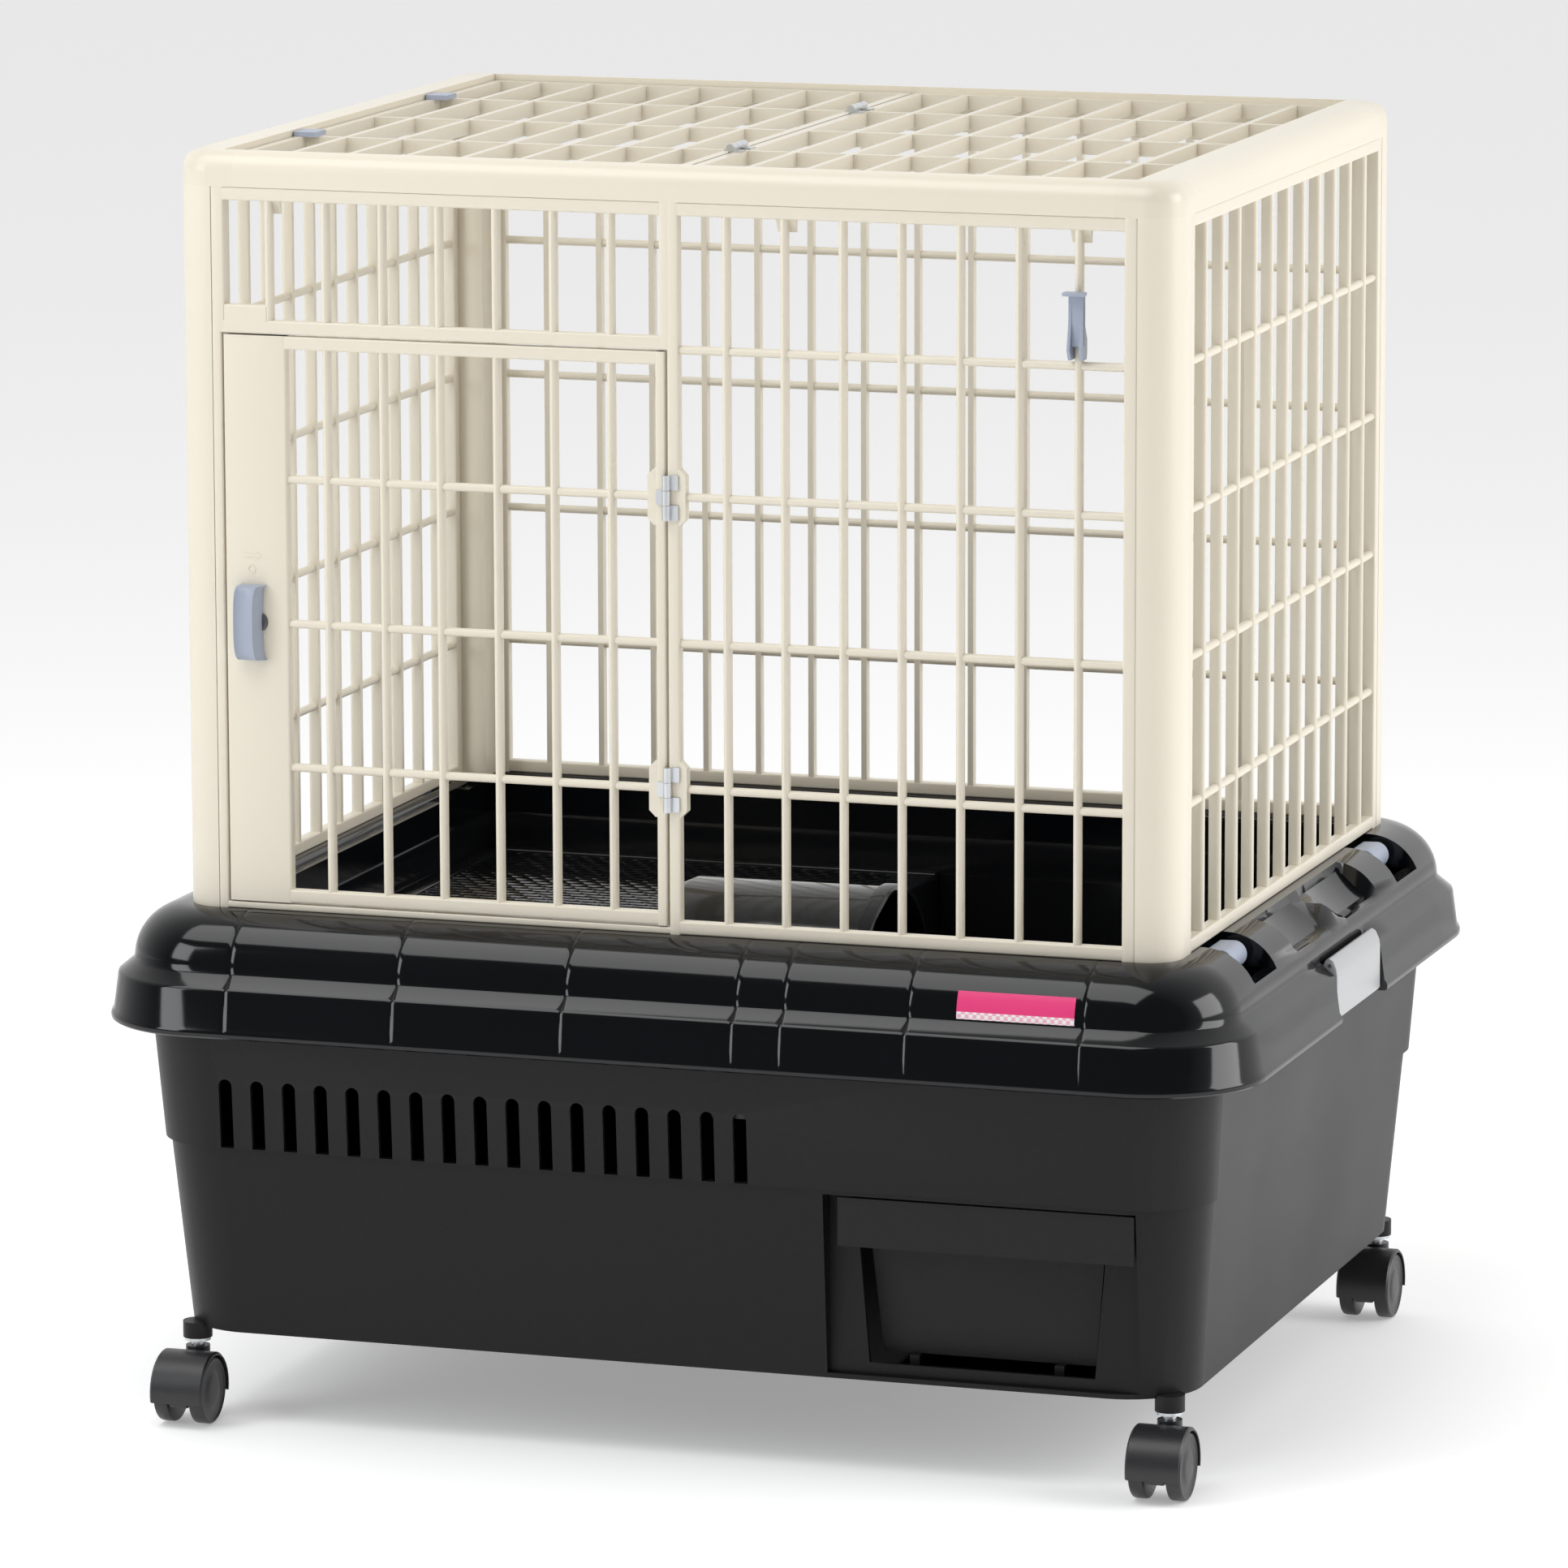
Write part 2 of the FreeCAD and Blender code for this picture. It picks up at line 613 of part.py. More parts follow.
def floor_tray():
    half_y = "cage_d / 2 - bowl_margin - tray_gap"
    left = "-cage_w / 2 + bowl_margin + tray_gap"
    plate = box("tray_plate", left, f"-({half_y})", "tray_z - tray_thick", f"well_left - ({left})",
                f"({half_y}) * 2", "tray_thick")
    under = box("tray_tunnel_gap", "tunnel_left - 1", "tunnel_y - tunnel_r", "tray_z - 10", 100,
                "tunnel_r * 2", 30)
    return cut("tray_body", plate, [under])


def tunnel_hood():
    """A half-round hood over the way down, open at its right end."""
    axis_z = "tunnel_top - tunnel_r"
    long = "tunnel_right - tunnel_left"
    outer = rod("hood_outer", "tunnel_left", "tunnel_y", axis_z, "tunnel_r", long, "X")
    inner = rod("hood_inner", "tunnel_left + deck_wall", "tunnel_y", axis_z, "tunnel_r - deck_wall", long,
                "X")
    below = box("hood_below", "tunnel_left - 1", "tunnel_y - tunnel_r - 1", f"{axis_z} - tunnel_r - 1",
                f"{long} + 2",
                "tunnel_r * 2 + 2", f"tray_z - ({axis_z}) + tunnel_r + 1")
    return cut("hood_body", outer, [inner, below])


piece("deck", deck())
piece("floor_tray", floor_tray())
piece("tunnel_hood", tunnel_hood())


def front_label():
    """A blank sticker on the front of the dome's lower edge."""
    return box("label_plate", "label_x", "-(cage_d / 2 + dome_out) - label_thick", "ledge_z + 9.5",
               "label_w", "label_thick", "label_high")


# ---------------------------------------------------------------- tub
TUB_FRONT = "-(cage_d / 2 + body_step_out)"
BAY_WALL = f"{TUB_FRONT} + bay_deep"


def shell_taper(name, low_z, high_z, low_out, high_out, inset=""):
    return taper(name, 0, 0, low_z, high_z, grown(f"{low_out}{inset}"), grown(f"{high_out}{inset}"))


def tub():
    inset = " - tub_wall"
    body = rounded("tub_body", shell_taper("tub_body_block", "foot_z", "step_z", "body_foot_out",
                                           "body_step_out"),
                   "tub_corner", is_upright)
    band = rounded("tub_band", shell_taper("tub_band_block", "step_z", "tub_top_z", "band_step_out",
                                           "band_top_out"),
                   "tub_corner", is_upright)
    body_room = rounded("tub_body_room", shell_taper("tub_body_room_block", "foot_z + tub_wall",
                                                     "step_z + tub_wall",
                                                     "body_foot_out", "body_step_out", inset), "tub_corner", is_upright)
    band_room = rounded("tub_band_room", shell_taper("tub_band_room_block", "step_z + tub_wall",
                                                     "tub_top_z + 1", "band_step_out",
                                                     "band_top_out", inset), "tub_corner", is_upright)
    shell = cut("tub_shell", fuse("tub_solid", [body, band]), [body_room, band_room])
    tools = []
    for k in range(SIZES["vent_count"]):
        x = f"vent_first_x + vent_pitch * {k}"
        tools.append(box(f"vent_{k}", f"{x} - vent_w / 2", f"{TUB_FRONT} - 20", "step_z + 0.5", "vent_w",
                         40, "vent_high - vent_w / 2"))
        tools.append(rod(f"vent_top_{k}", x, f"{TUB_FRONT} - 20", "step_z + 0.5 + vent_high - vent_w / 2",
                         "vent_w / 2", 40, "Y"))
    bay_high = "step_z - 3 - foot_z - tub_wall"
    tools.append(box("bay_mouth", "bay_left", f"{TUB_FRONT} - 20", "foot_z + tub_wall",
                     "bay_right - bay_left",
                     "bay_deep + 20", bay_high))
    opened = cut("tub_opened", shell, tools)
    wall = box("bay_wall", "bay_left", BAY_WALL, "foot_z + tub_wall", "bay_right - bay_left", "tub_wall",
               bay_high)
    hole = taper("bay_hole", "drawer_x", BAY_WALL, "drawer_foot_z - drawer_gap",
                 "drawer_top_z + drawer_gap",
                 ("drawer_foot_half + drawer_gap", "10"), ("drawer_top_half + drawer_gap", "10"))
    lining = [
        cut("bay_wall_cut", wall, [hole]),
        box("bay_left_side", "bay_left - tub_wall", "-(cage_d / 2 + body_foot_out)", "foot_z + tub_wall",
            "tub_wall",
            "bay_deep", f"{bay_high} + tub_wall"),
        box("bay_roof", "bay_left", "-(cage_d / 2 + body_foot_out)", f"foot_z + tub_wall + {bay_high}",
            "bay_right - bay_left", "bay_deep", "tub_wall"),
    ]
    runners = [box(f"runner_{i}", f"drawer_x + ({shift}) - 3", f"{BAY_WALL} + 10", "foot_z + tub_wall", 6,
                   "drawer_long - 20",
                   "drawer_foot_z - foot_z - tub_wall") for i, shift in enumerate((-45, 45))]
    pillars = [rod(f"pillar_{i}", f"caster_x * ({side})", f"caster_y * ({end})", "pillar_z", "pillar_r",
                   "foot_z + 2 - pillar_z") for i, (side, end) in enumerate(CORNERS.values())]
    return fuse("tub_whole", [opened] + lining + runners + pillars)


def drawer():
    y = f"{BAY_WALL} + 10 + drawer_long / 2"
    solid = taper("drawer_solid", "drawer_x", y, "drawer_foot_z", "drawer_top_z",
                  ("drawer_foot_half", "drawer_long / 2 - 6"), ("drawer_top_half", "drawer_long / 2"))
    room = taper("drawer_room", "drawer_x", y, "drawer_foot_z + drawer_wall", "drawer_top_z",
                 ("drawer_foot_half - drawer_wall", "drawer_long / 2 - 6 - drawer_wall"),
                 ("drawer_top_half - drawer_wall", "drawer_long / 2 - drawer_wall"))
    tray = cut("drawer_tray", solid, [room])
    face_y = f"{TUB_FRONT} + 1.5"
    handle = box("drawer_handle", "bay_left + 9", face_y, "handle_foot_z", "bay_right - bay_left - 10", 3,
                 "step_z - 4.5 - handle_foot_z")
    bridge = box("drawer_bridge", "drawer_x - drawer_top_half + 6", f"{face_y} + 2", "drawer_top_z - 3",
                 "drawer_top_half * 2 - 12", "bay_deep + 8.5", 3)
    return fuse("drawer_whole", [tray, handle, bridge])


def drawer_grate():
    y = f"{BAY_WALL} + 10"
    x = "drawer_x - grate_half"
    wide = "grate_half * 2"
    z = "step_z + 1"
    parts = [
        box("grate_front", x, y, z, wide, 3, 3),
        box("grate_back", x, f"{y} + drawer_long - 3", z, wide, 3, 3),
        box("grate_left", x, y, z, 3, "drawer_long", 3),
        box("grate_right", "drawer_x + grate_half - 3", y, z, 3, "drawer_long", 3),
    ]
    for k in range(1, 14):
        parts.append(box(f"grate_bar_{k}", x, f"{y} + drawer_long / 14 * {k} - 1", z, wide, 2, 2))
    return fuse("grate_whole", parts)


piece("tub", tub())
piece("drawer", drawer())
piece("drawer_grate", drawer_grate())
piece("front_label", front_label())


# ---------------------------------------------------------------- buckles and clips
def buckle(prefix, side):
    x = f"buckle_x * ({side})"
    barrel = rod(f"{prefix}_barrel", x, "-buckle_half + 0.5", "buckle_z", "buckle_r", "buckle_half * 2 - 1",
                 "Y")
    low_x = "buckle_x + 1" if side > 0 else "-buckle_x - buckle_r"
    plate = box(f"{prefix}_plate", low_x, "-buckle_half + 0.5", "buckle_foot", "buckle_r - 1",
                "buckle_half * 2 - 1",
                "buckle_z - buckle_foot")
    bore = rod(f"{prefix}_bore", x, "-buckle_half", "buckle_z", "pin_r + pin_clearance", "buckle_half * 2",
               "Y")
    return cut(f"{prefix}_body", fuse(f"{prefix}_solid", [barrel, plate]), [bore])


def cage_clip(prefix, side, end):
    x, y = f"clip_x * ({side})", f"clip_y * ({end})"
    barrel = rod(f"{prefix}_barrel", x, f"{y} - clip_half", "clip_z", "clip_r", "clip_half * 2", "Y")
    low_x = "cage_w / 2 + 0.6" if side > 0 else "-clip_x"
    tongue = box(f"{prefix}_tongue", low_x, f"{y} - clip_half * 0.7", "clip_z + clip_r - 5",
                 "clip_x - cage_w / 2 - 0.6",
                 "clip_half * 1.4", 5)
    bore = rod(f"{prefix}_bore", x, f"{y} - notch_half", "clip_z", "pin_r + pin_clearance",
               "notch_half * 2", "Y")
    return cut(f"{prefix}_body", fuse(f"{prefix}_solid", [barrel, tongue]), [bore])


def pins(name, spots, half):
    return fuse(name, [rod(f"{name}_{i}", x, f"{y} - {half}", z, "pin_r", f"{half} * 2", "Y") for i,
                       (x, y, z) in enumerate(spots)])


for name, side in (("left", -1), ("right", 1)):
    piece(f"buckle_{name}", buckle(f"buckle_{name}", side))
piece("buckle_pins", pins("buckle_pin", [(f"buckle_x * ({s})", "0", "buckle_z") for s in (-1, 1)],
                          "buckle_half"))
for corner, (side, end) in CORNERS.items():
    piece(f"clip_{corner}", cage_clip(f"clip_{corner}", side, end))
piece("clip_pins", pins("clip_pin", [(f"clip_x * ({s})", f"clip_y * ({e})", "clip_z") for s,
                                     e in CORNERS.values()], "notch_half"))


# ---------------------------------------------------------------- casters
def caster(corner, side, end):
    x, y = f"caster_x * ({side})", f"caster_y * ({end})"
    wheel_y = f"{y} - caster_trail"
    prefix = f"caster_{corner}"
    hub = "wheel_r"
    stem = rod(f"{prefix}_stem_rod", x, y, "stem_foot", "stem_r", "pillar_z - stem_foot")
    washer = rod(f"{prefix}_washer", x, y, "pillar_z - 2", "stem_r * 2", 2)
    piece(f"{prefix}_stem", fuse(f"{prefix}_stem_whole", [stem, washer]))
    web = box(f"{prefix}_web", f"{x} - wheel_gap + 0.5", f"{wheel_y} - 6", f"{hub} - 6",
              "wheel_gap * 2 - 1", "caster_trail + 12",
              "fork_top - wheel_r + 6")
    hood = rod(f"{prefix}_hood", f"{x} - wheel_gap - wheel_w", wheel_y, hub, "wheel_r + 3.5",
               "wheel_gap * 2 + wheel_w * 2", "X")
    hood_room = rod(f"{prefix}_hood_room", f"{x} - wheel_gap - wheel_w - 1", wheel_y, hub, "wheel_r + 1",
                    "wheel_gap * 2 + wheel_w * 2 + 2", "X")
    hood_foot = box(f"{prefix}_hood_foot", f"{x} - 40", f"{wheel_y} - 40", "-10", 80, 80, "wheel_r + 18")
    arch = cut(f"{prefix}_arch", hood, [hood_room, hood_foot])
    axle = rod(f"{prefix}_axle", f"{x} - wheel_gap - wheel_w + 1", wheel_y, hub, "axle_r",
               "wheel_gap * 2 + wheel_w * 2 - 2", "X")
    socket = rod(f"{prefix}_socket", x, y, 0, "stem_r + axle_clearance", "fork_top + 5")
    body = fuse(f"{prefix}_fork_solid", [web, arch, axle])
    piece(f"{prefix}_fork", cut(f"{prefix}_fork_whole", body, [socket]))
    for name, low_x in (("left", f"{x} - wheel_gap - wheel_w"), ("right", f"{x} + wheel_gap")):
        tyre = rod(f"{prefix}_{name}_disc", low_x, wheel_y, hub, "wheel_r", "wheel_w", "X")
        bore = rod(f"{prefix}_{name}_bore", f"{low_x} - 1", wheel_y, hub, "axle_r + axle_clearance",
                   "wheel_w + 2", "X")
        piece(f"{prefix}_wheel_{name}", cut(f"{prefix}_wheel_{name}_whole", tyre, [bore]))


for corner, (side, end) in CORNERS.items():
    caster(corner, side, end)


# ---------------------------------------------------------------- check and write
doc.recompute()
for item in doc.Objects:
    bad = {"Invalid", "Error"} & set(item.State)
    assert not bad, f"{item.Name} is {item.State}"
for label, item in pieces.items():
    shape = item.Shape
    assert not shape.isNull() and shape.isValid() and shape.Solids, f"{label} has no valid solid"

os.makedirs("parts", exist_ok=True)
for label, item in pieces.items():
    item.Shape.exportStep(f"parts/{label}.step")
print(len(pieces), "pieces written")
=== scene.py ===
import json
import math

import bmesh
import bpy
from mathutils import Matrix, Vector


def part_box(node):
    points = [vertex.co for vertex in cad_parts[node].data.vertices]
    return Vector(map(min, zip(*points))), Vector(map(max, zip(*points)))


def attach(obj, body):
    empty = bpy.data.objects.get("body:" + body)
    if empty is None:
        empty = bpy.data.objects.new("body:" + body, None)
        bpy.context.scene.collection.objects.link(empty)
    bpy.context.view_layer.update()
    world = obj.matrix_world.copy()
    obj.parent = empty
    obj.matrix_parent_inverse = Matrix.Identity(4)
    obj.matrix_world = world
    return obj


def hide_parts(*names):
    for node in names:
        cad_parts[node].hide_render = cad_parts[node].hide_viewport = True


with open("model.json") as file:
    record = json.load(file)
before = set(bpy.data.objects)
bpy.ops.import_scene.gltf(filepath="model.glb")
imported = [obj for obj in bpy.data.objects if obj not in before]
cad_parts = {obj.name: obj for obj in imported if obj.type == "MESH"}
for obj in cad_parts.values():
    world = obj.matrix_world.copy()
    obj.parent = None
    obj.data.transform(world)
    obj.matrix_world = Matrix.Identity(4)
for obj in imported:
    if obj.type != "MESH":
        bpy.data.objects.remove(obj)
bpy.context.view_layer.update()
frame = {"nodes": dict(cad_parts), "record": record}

MM = 0.001

# ------------------------------------------------------------------ places read from the frame
front_low, front_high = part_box("front_panel")
rear_low, rear_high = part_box("rear_panel")
left_low, left_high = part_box("left_panel")
right_low, right_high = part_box("right_panel")
deck_low, deck_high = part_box("deck")
tray_low, tray_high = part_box("floor_tray")

FRONT = front_low.y
BACK = rear_high.y
HALF_W = right_high.x
HALF_D = BACK
SEAT = front_low.z
CAGE_TOP = front_high.z
BAR_DEPTH = front_high.y - front_low.y
PITCH = (front_high.x - front_low.x) / 16
ROW = (CAGE_TOP - SEAT) / 5
POST_ROUND = 21 * MM
DECK_WALL = 2.4 * MM


# ------------------------------------------------------------------ materials
def node(tree, kind, **values):
    item = tree.nodes.new(kind)
    for name, value in values.items():
        setattr(item, name, value)
    return item


def moulded(name, color, roughness, grain_size=900.0, grain=0.02, vary=0.04, coat=0.0, metallic=0.0,
            streak=0.0, shine=0.5):
    """Moulded plastic or plated metal: slow colour drift, fine grain, uneven polish, and a painted
    highlight that makes convex edges paler.
    """
    mat = bpy.data.materials.new(name)
    mat.use_nodes = True
    tree = mat.node_tree
    links = tree.links
    shader = tree.nodes["Principled BSDF"]
    shader.inputs["Metallic"].default_value = metallic
    shader.inputs["Specular IOR Level"].default_value = shine
    shader.inputs["Coat Weight"].default_value = coat
    shader.inputs["Coat Roughness"].default_value = roughness * 0.35
    place = node(tree, "ShaderNodeTexCoord")
    drift = node(tree, "ShaderNodeTexNoise")
    drift.inputs["Scale"].default_value = 7.0
    drift.inputs["Detail"].default_value = 5.0
    grainy = node(tree, "ShaderNodeTexNoise")
    grainy.inputs["Scale"].default_value = grain_size
    grainy.inputs["Detail"].default_value = 3.0
    links.new(place.outputs["Object"], drift.inputs["Vector"])
    links.new(place.outputs["Object"], grainy.inputs["Vector"])
    ramp = node(tree, "ShaderNodeMix", data_type="RGBA")
    ramp.inputs["A"].default_value = [c * (1 - vary) for c in color] + [1]
    ramp.inputs["B"].default_value = [min(c * (1 + vary), 1) for c in color] + [1]
    links.new(drift.outputs["Fac"], ramp.inputs["Factor"])
    # Painted highlight: convex edges, found by pointiness, are mixed towards a paler copy of the colour.
    geometry = node(tree, "ShaderNodeNewGeometry")
    edge = node(tree, "ShaderNodeMapRange")
    edge.inputs["From Min"].default_value = 0.52
    edge.inputs["From Max"].default_value = 0.62
    edge.inputs["To Max"].default_value = 0.25
    links.new(geometry.outputs["Pointiness"], edge.inputs["Value"])
    painted_edge_highlight = node(tree, "ShaderNodeMix", data_type="RGBA")
    painted_edge_highlight.inputs["B"].default_value = [min(c * 1.25 + 0.02, 1) for c in color] + [1]
    links.new(edge.outputs["Result"], painted_edge_highlight.inputs["Factor"])
    links.new(ramp.outputs["Result"], painted_edge_highlight.inputs["A"])
    links.new(painted_edge_highlight.outputs["Result"], shader.inputs["Base Color"])
    polish = node(tree, "ShaderNodeMapRange")
    polish.inputs["To Min"].default_value = roughness * 0.85
    polish.inputs["To Max"].default_value = roughness * 1.2
    links.new(drift.outputs["Fac"], polish.inputs["Value"])
    links.new(polish.outputs["Result"], shader.inputs["Roughness"])
    bump = node(tree, "ShaderNodeBump")
    bump.inputs["Strength"].default_value = grain
    bump.inputs["Distance"].default_value = 0.0006
    links.new(grainy.outputs["Fac"], bump.inputs["Height"])
    normal = bump.outputs["Normal"]
    if streak:
        wave = node(tree, "ShaderNodeTexNoise")
        wave.inputs["Scale"].default_value = 16.0
        wave.inputs["Detail"].default_value = 1.0
        swell = node(tree, "ShaderNodeBump")
        swell.inputs["Strength"].default_value = streak
        swell.inputs["Distance"].default_value = 0.004
        links.new(place.outputs["Object"], wave.inputs["Vector"])
        links.new(wave.outputs["Fac"], swell.inputs["Height"])
        links.new(normal, swell.inputs["Normal"])
        normal = swell.outputs["Normal"]
    links.new(normal, shader.inputs["Normal"])
    return mat


ivory = moulded("ivory_plastic", (0.70, 0.645, 0.535), 0.34, grain_size=1200, grain=0.05, vary=0.025,
                coat=0.15)
gloss_black = moulded("gloss_black", (0.0025, 0.003, 0.004), 0.10, grain_size=500, grain=0.01, vary=0.2,
                      streak=0.05, shine=0.4)
charcoal = moulded("charcoal_plastic", (0.0095, 0.0085, 0.0095), 0.40, grain_size=1500, grain=0.25,
                   vary=0.08, shine=0.2)
blue_grey = moulded("blue_grey_plastic", (0.33, 0.37, 0.46), 0.38, grain_size=1200, grain=0.06)
light_grey = moulded("light_grey_plastic", (0.42, 0.425, 0.44), 0.36, grain_size=1400, grain=0.15)
zinc = moulded("zinc_steel", (0.62, 0.64, 0.66), 0.28, grain_size=1800, grain=0.1, vary=0.1, metallic=1.0)
caster_black = moulded("caster_black", (0.016, 0.016, 0.018), 0.34, grain_size=1600, grain=0.2, vary=0.1)
dark_grey = moulded("dark_grey_plastic", (0.07, 0.075, 0.085), 0.4, grain_size=1500, grain=0.1)


def label_film():
    """A blank film with a rose field and a pale checked band."""
    mat = moulded("label_film", (0.78, 0.05, 0.20), 0.3, grain=0.02)
    tree = mat.node_tree
    shader = tree.nodes["Principled BSDF"]
    place = node(tree, "ShaderNodeTexCoord")
    checks = node(tree, "ShaderNodeTexChecker")
    checks.inputs["Scale"].default_value = 420.0
    checks.inputs["Color1"].default_value = (0.9, 0.85, 0.86, 1)
    checks.inputs["Color2"].default_value = (0.85, 0.45, 0.55, 1)
    split = node(tree, "ShaderNodeSeparateXYZ")
    band = node(tree, "ShaderNodeMath", operation="LESS_THAN")
    band.inputs[1].default_value = LABEL_LOW + (LABEL_HIGH - LABEL_LOW) * 0.27
    mix = node(tree, "ShaderNodeMix", data_type="RGBA")
    tree.links.new(place.outputs["Object"], checks.inputs["Vector"])
    tree.links.new(place.outputs["Object"], split.inputs["Vector"])
    tree.links.new(split.outputs["Z"], band.inputs[0])
    tree.links.new(band.outputs[0], mix.inputs["Factor"])
    mix.inputs["A"].default_value = (0.78, 0.05, 0.20, 1)
    tree.links.new(checks.outputs["Color"], mix.inputs["B"])
    tree.links.new(mix.outputs["Result"], shader.inputs["Base Color"])
    return mat


# ------------------------------------------------------------------ mesh helpers
class Shape:
    """Points and faces of one piece."""

    def __init__(self):
        self.points = []
        self.faces = []

    def loop(self, points):
        first = len(self.points)
        self.points.extend(Vector(p) for p in points)
        return list(range(first, len(self.points)))

    def bridge(self, a, b):
        count = len(a)
        for i in range(count):
            j = (i + 1) % count
            self.faces.append((a[i], a[j], b[j], b[i]))

    def prism(self, points, vector):
        """A closed bar: an outline and the same outline moved by vector."""
        vector = Vector(vector)
        low = self.loop(points)
        high = self.loop([Vector(p) + vector for p in points])
        self.bridge(low, high)
        self.faces.append(tuple(reversed(low)))
        self.faces.append(tuple(high))

    def stack(self, loops, close=True):
        """Outlines joined one after another, with both ends capped or the last joined to the first."""
        rings = [self.loop(points) for points in loops]
        for a, b in zip(rings, rings[1:]):
            self.bridge(a, b)
        if close:
            self.faces.append(tuple(reversed(rings[0])))
            self.faces.append(tuple(rings[-1]))
        else:
            self.bridge(rings[-1], rings[0])

    def done(self, name, material, body, replaces=(), smooth=32, bevel=0.0, slot=None):
        mesh = bpy.data.meshes.new(name)
        mesh.from_pydata([tuple(p) for p in self.points], [], self.faces)
        work = bmesh.new()
        work.from_mesh(mesh)
        bmesh.ops.recalc_face_normals(work, faces=work.faces)
        work.to_mesh(mesh)
        work.free()
        mesh.materials.append(material)
        mesh.shade_smooth()
        mesh.set_sharp_from_angle(angle=math.radians(smooth))
        piece = bpy.data.objects.new(name, mesh)
        bpy.context.collection.objects.link(piece)
        if bevel:
            edge = piece.modifiers.new("edges", "BEVEL")
            edge.width = bevel
            edge.segments = 2
            edge.limit_method = "ANGLE"
            edge.angle_limit = math.radians(40)
            edge.harden_normals = True
        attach(piece, body)
        if replaces:
            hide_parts(*replaces)
        return piece


def rounded_rect(low_u, high_u, low_v, high_v, radius, steps=3):
    """A rectangle with round corners, as (u, v) pairs."""
    corners = [(high_u - radius, high_v - radius, 0), (low_u + radius, high_v - radius, 90),
               (low_u + radius, low_v + radius, 180), (high_u - radius, low_v + radius, 270)]
    outline = []
    for u, v, start in corners:
        for k in range(steps + 1):
            angle = math.radians(start + 90 * k / steps)
            outline.append((u + radius * math.cos(angle), v + radius * math.sin(angle)))
    return outline


def circle(radius, count):
    return [(radius * math.cos(math.tau * k / count), radius * math.sin(math.tau * k / count))
            for k in range(count)]


def along_x(pairs, x):
    return [(x, u, v) for u, v in pairs]


def along_y(pairs, y):
    return [(u, y, v) for u, v in pairs]


def along_z(pairs, z):
    return [(u, v, z) for u, v in pairs]


def block(shape, low, high, radius, axis="z"):
    """A soft-edged block: its long edges along axis are rounded."""
    (x0, y0, z0), (x1, y1, z1) = low, high
    if axis == "z":
        shape.prism(along_z(rounded_rect(x0, x1, y0, y1, radius), z0), (0, 0, z1 - z0))
    elif axis == "x":
        shape.prism(along_x(rounded_rect(y0, y1, z0, z1, radius), x0), (x1 - x0, 0, 0))
    else:
        shape.prism(along_y(rounded_rect(x0, x1, z0, z1, radius), y0), (0, y1 - y0, 0))


def bar_outline(width, depth):
    """A bar's cross-section, round at the outer face and square at the inner, as (across, inwards)."""
    nose = width * 0.55
    half = width / 2
    steps = 6
    arc = [math.pi * k / steps for k in range(steps + 1)]
    outline = [(half * math.cos(a), BAR_INSET + nose - nose * math.sin(a)) for a in arc]
    return outline + [(-half * 0.8, depth - BAR_INSET), (half * 0.8, depth - BAR_INSET)]


# ------------------------------------------------------------------ cage walls and door
BAR_W = 4.5 * MM
BAR_INSET = 0.3 * MM
RAIL_INSET = 0.15 * MM
ROD_R = 2.6 * MM
BAR = bar_outline(BAR_W, BAR_DEPTH)


class Wall:
    """A grille in an upright plane: u runs along it, depth goes inwards from its face."""

    def __init__(self, face, inward, runs_along):
        self.shape = Shape()
        self.face, self.inward, self.runs_along = face, inward, runs_along

    def spot(self, u, depth, z):
        level = self.face + self.inward * depth
        return (u, level, z) if self.runs_along == "x" else (level, u, z)

    def vector(self, du, dz):
        return (du, 0, dz) if self.runs_along == "x" else (0, du, dz)

    def bar(self, u, low, high, width=BAR_W):
        outline = BAR if width == BAR_W else bar_outline(width, BAR_DEPTH)
        self.shape.prism([self.spot(u + a, d, low) for a, d in outline], self.vector(0, high - low))

    def rod(self, z, low, high):
        ring = [self.spot(low, BAR_DEPTH / 2 + a, z + b) for a, b in circle(ROD_R, 12)]
        self.shape.prism(ring, self.vector(high - low, 0))

    def strip(self, low_u, high_u, low, high, radius=1.2 * MM, inset=0.0):
        """An upright flat strip."""
        outline = rounded_rect(low_u, high_u, inset, BAR_DEPTH - inset, radius)
        self.shape.prism([self.spot(u, d, low) for u, d in outline], self.vector(0, high - low))

    def rail(self, low_u, high_u, low, high, radius=1.2 * MM, inset=RAIL_INSET):
        """A level flat strip."""
        outline = rounded_rect(inset, BAR_DEPTH - inset, low, high, radius)
        self.shape.prism([self.spot(low_u, d, z) for d, z in outline], self.vector(high_u - low_u, 0))

    def gusset(self, u, top, size=9 * MM):
        """A small web that ties a bar to the top rail."""
        half = BAR_W * 0.3
        outline = [(BAR_DEPTH * 0.4, top), (BAR_DEPTH, top), (BAR_DEPTH, top - size)]
        self.shape.prism([self.spot(u - size * 0.6, d, z) for d, z in outline],
                         self.vector(size * 1.2 + half, 0))


RAIL = 8 * MM


def plain_wall(node_name, face, inward, runs_along, low, high, pitch, count):
    wall = Wall(face, inward, runs_along)
    wall.strip(low, low + RAIL, SEAT, CAGE_TOP)
    wall.strip(high - RAIL, high, SEAT, CAGE_TOP)
    wall.rail(low + 1 * MM, high - 1 * MM, CAGE_TOP - RAIL, CAGE_TOP)
    wall.rail(low + 1 * MM, high - 1 * MM, SEAT, SEAT + RAIL)
    centre = (low + high) / 2
    half = count // 2
    for k in range(1 - half, half):
        wall.bar(centre + k * pitch, SEAT + 2 * MM, CAGE_TOP - 2 * MM)
    for k in range(1, 5):
        wall.rod(SEAT + ROW * k, low + 2 * MM, high - 2 * MM)
    wall.shape.done(f"{node_name}_moulding", ivory, "root", (node_name,), slot="cage_plastic")


MULLION = 7 * MM
DOOR_TOP = SEAT + ROW * 4
JAMB = 6 * MM
PAD_HALF = 5.5 * MM


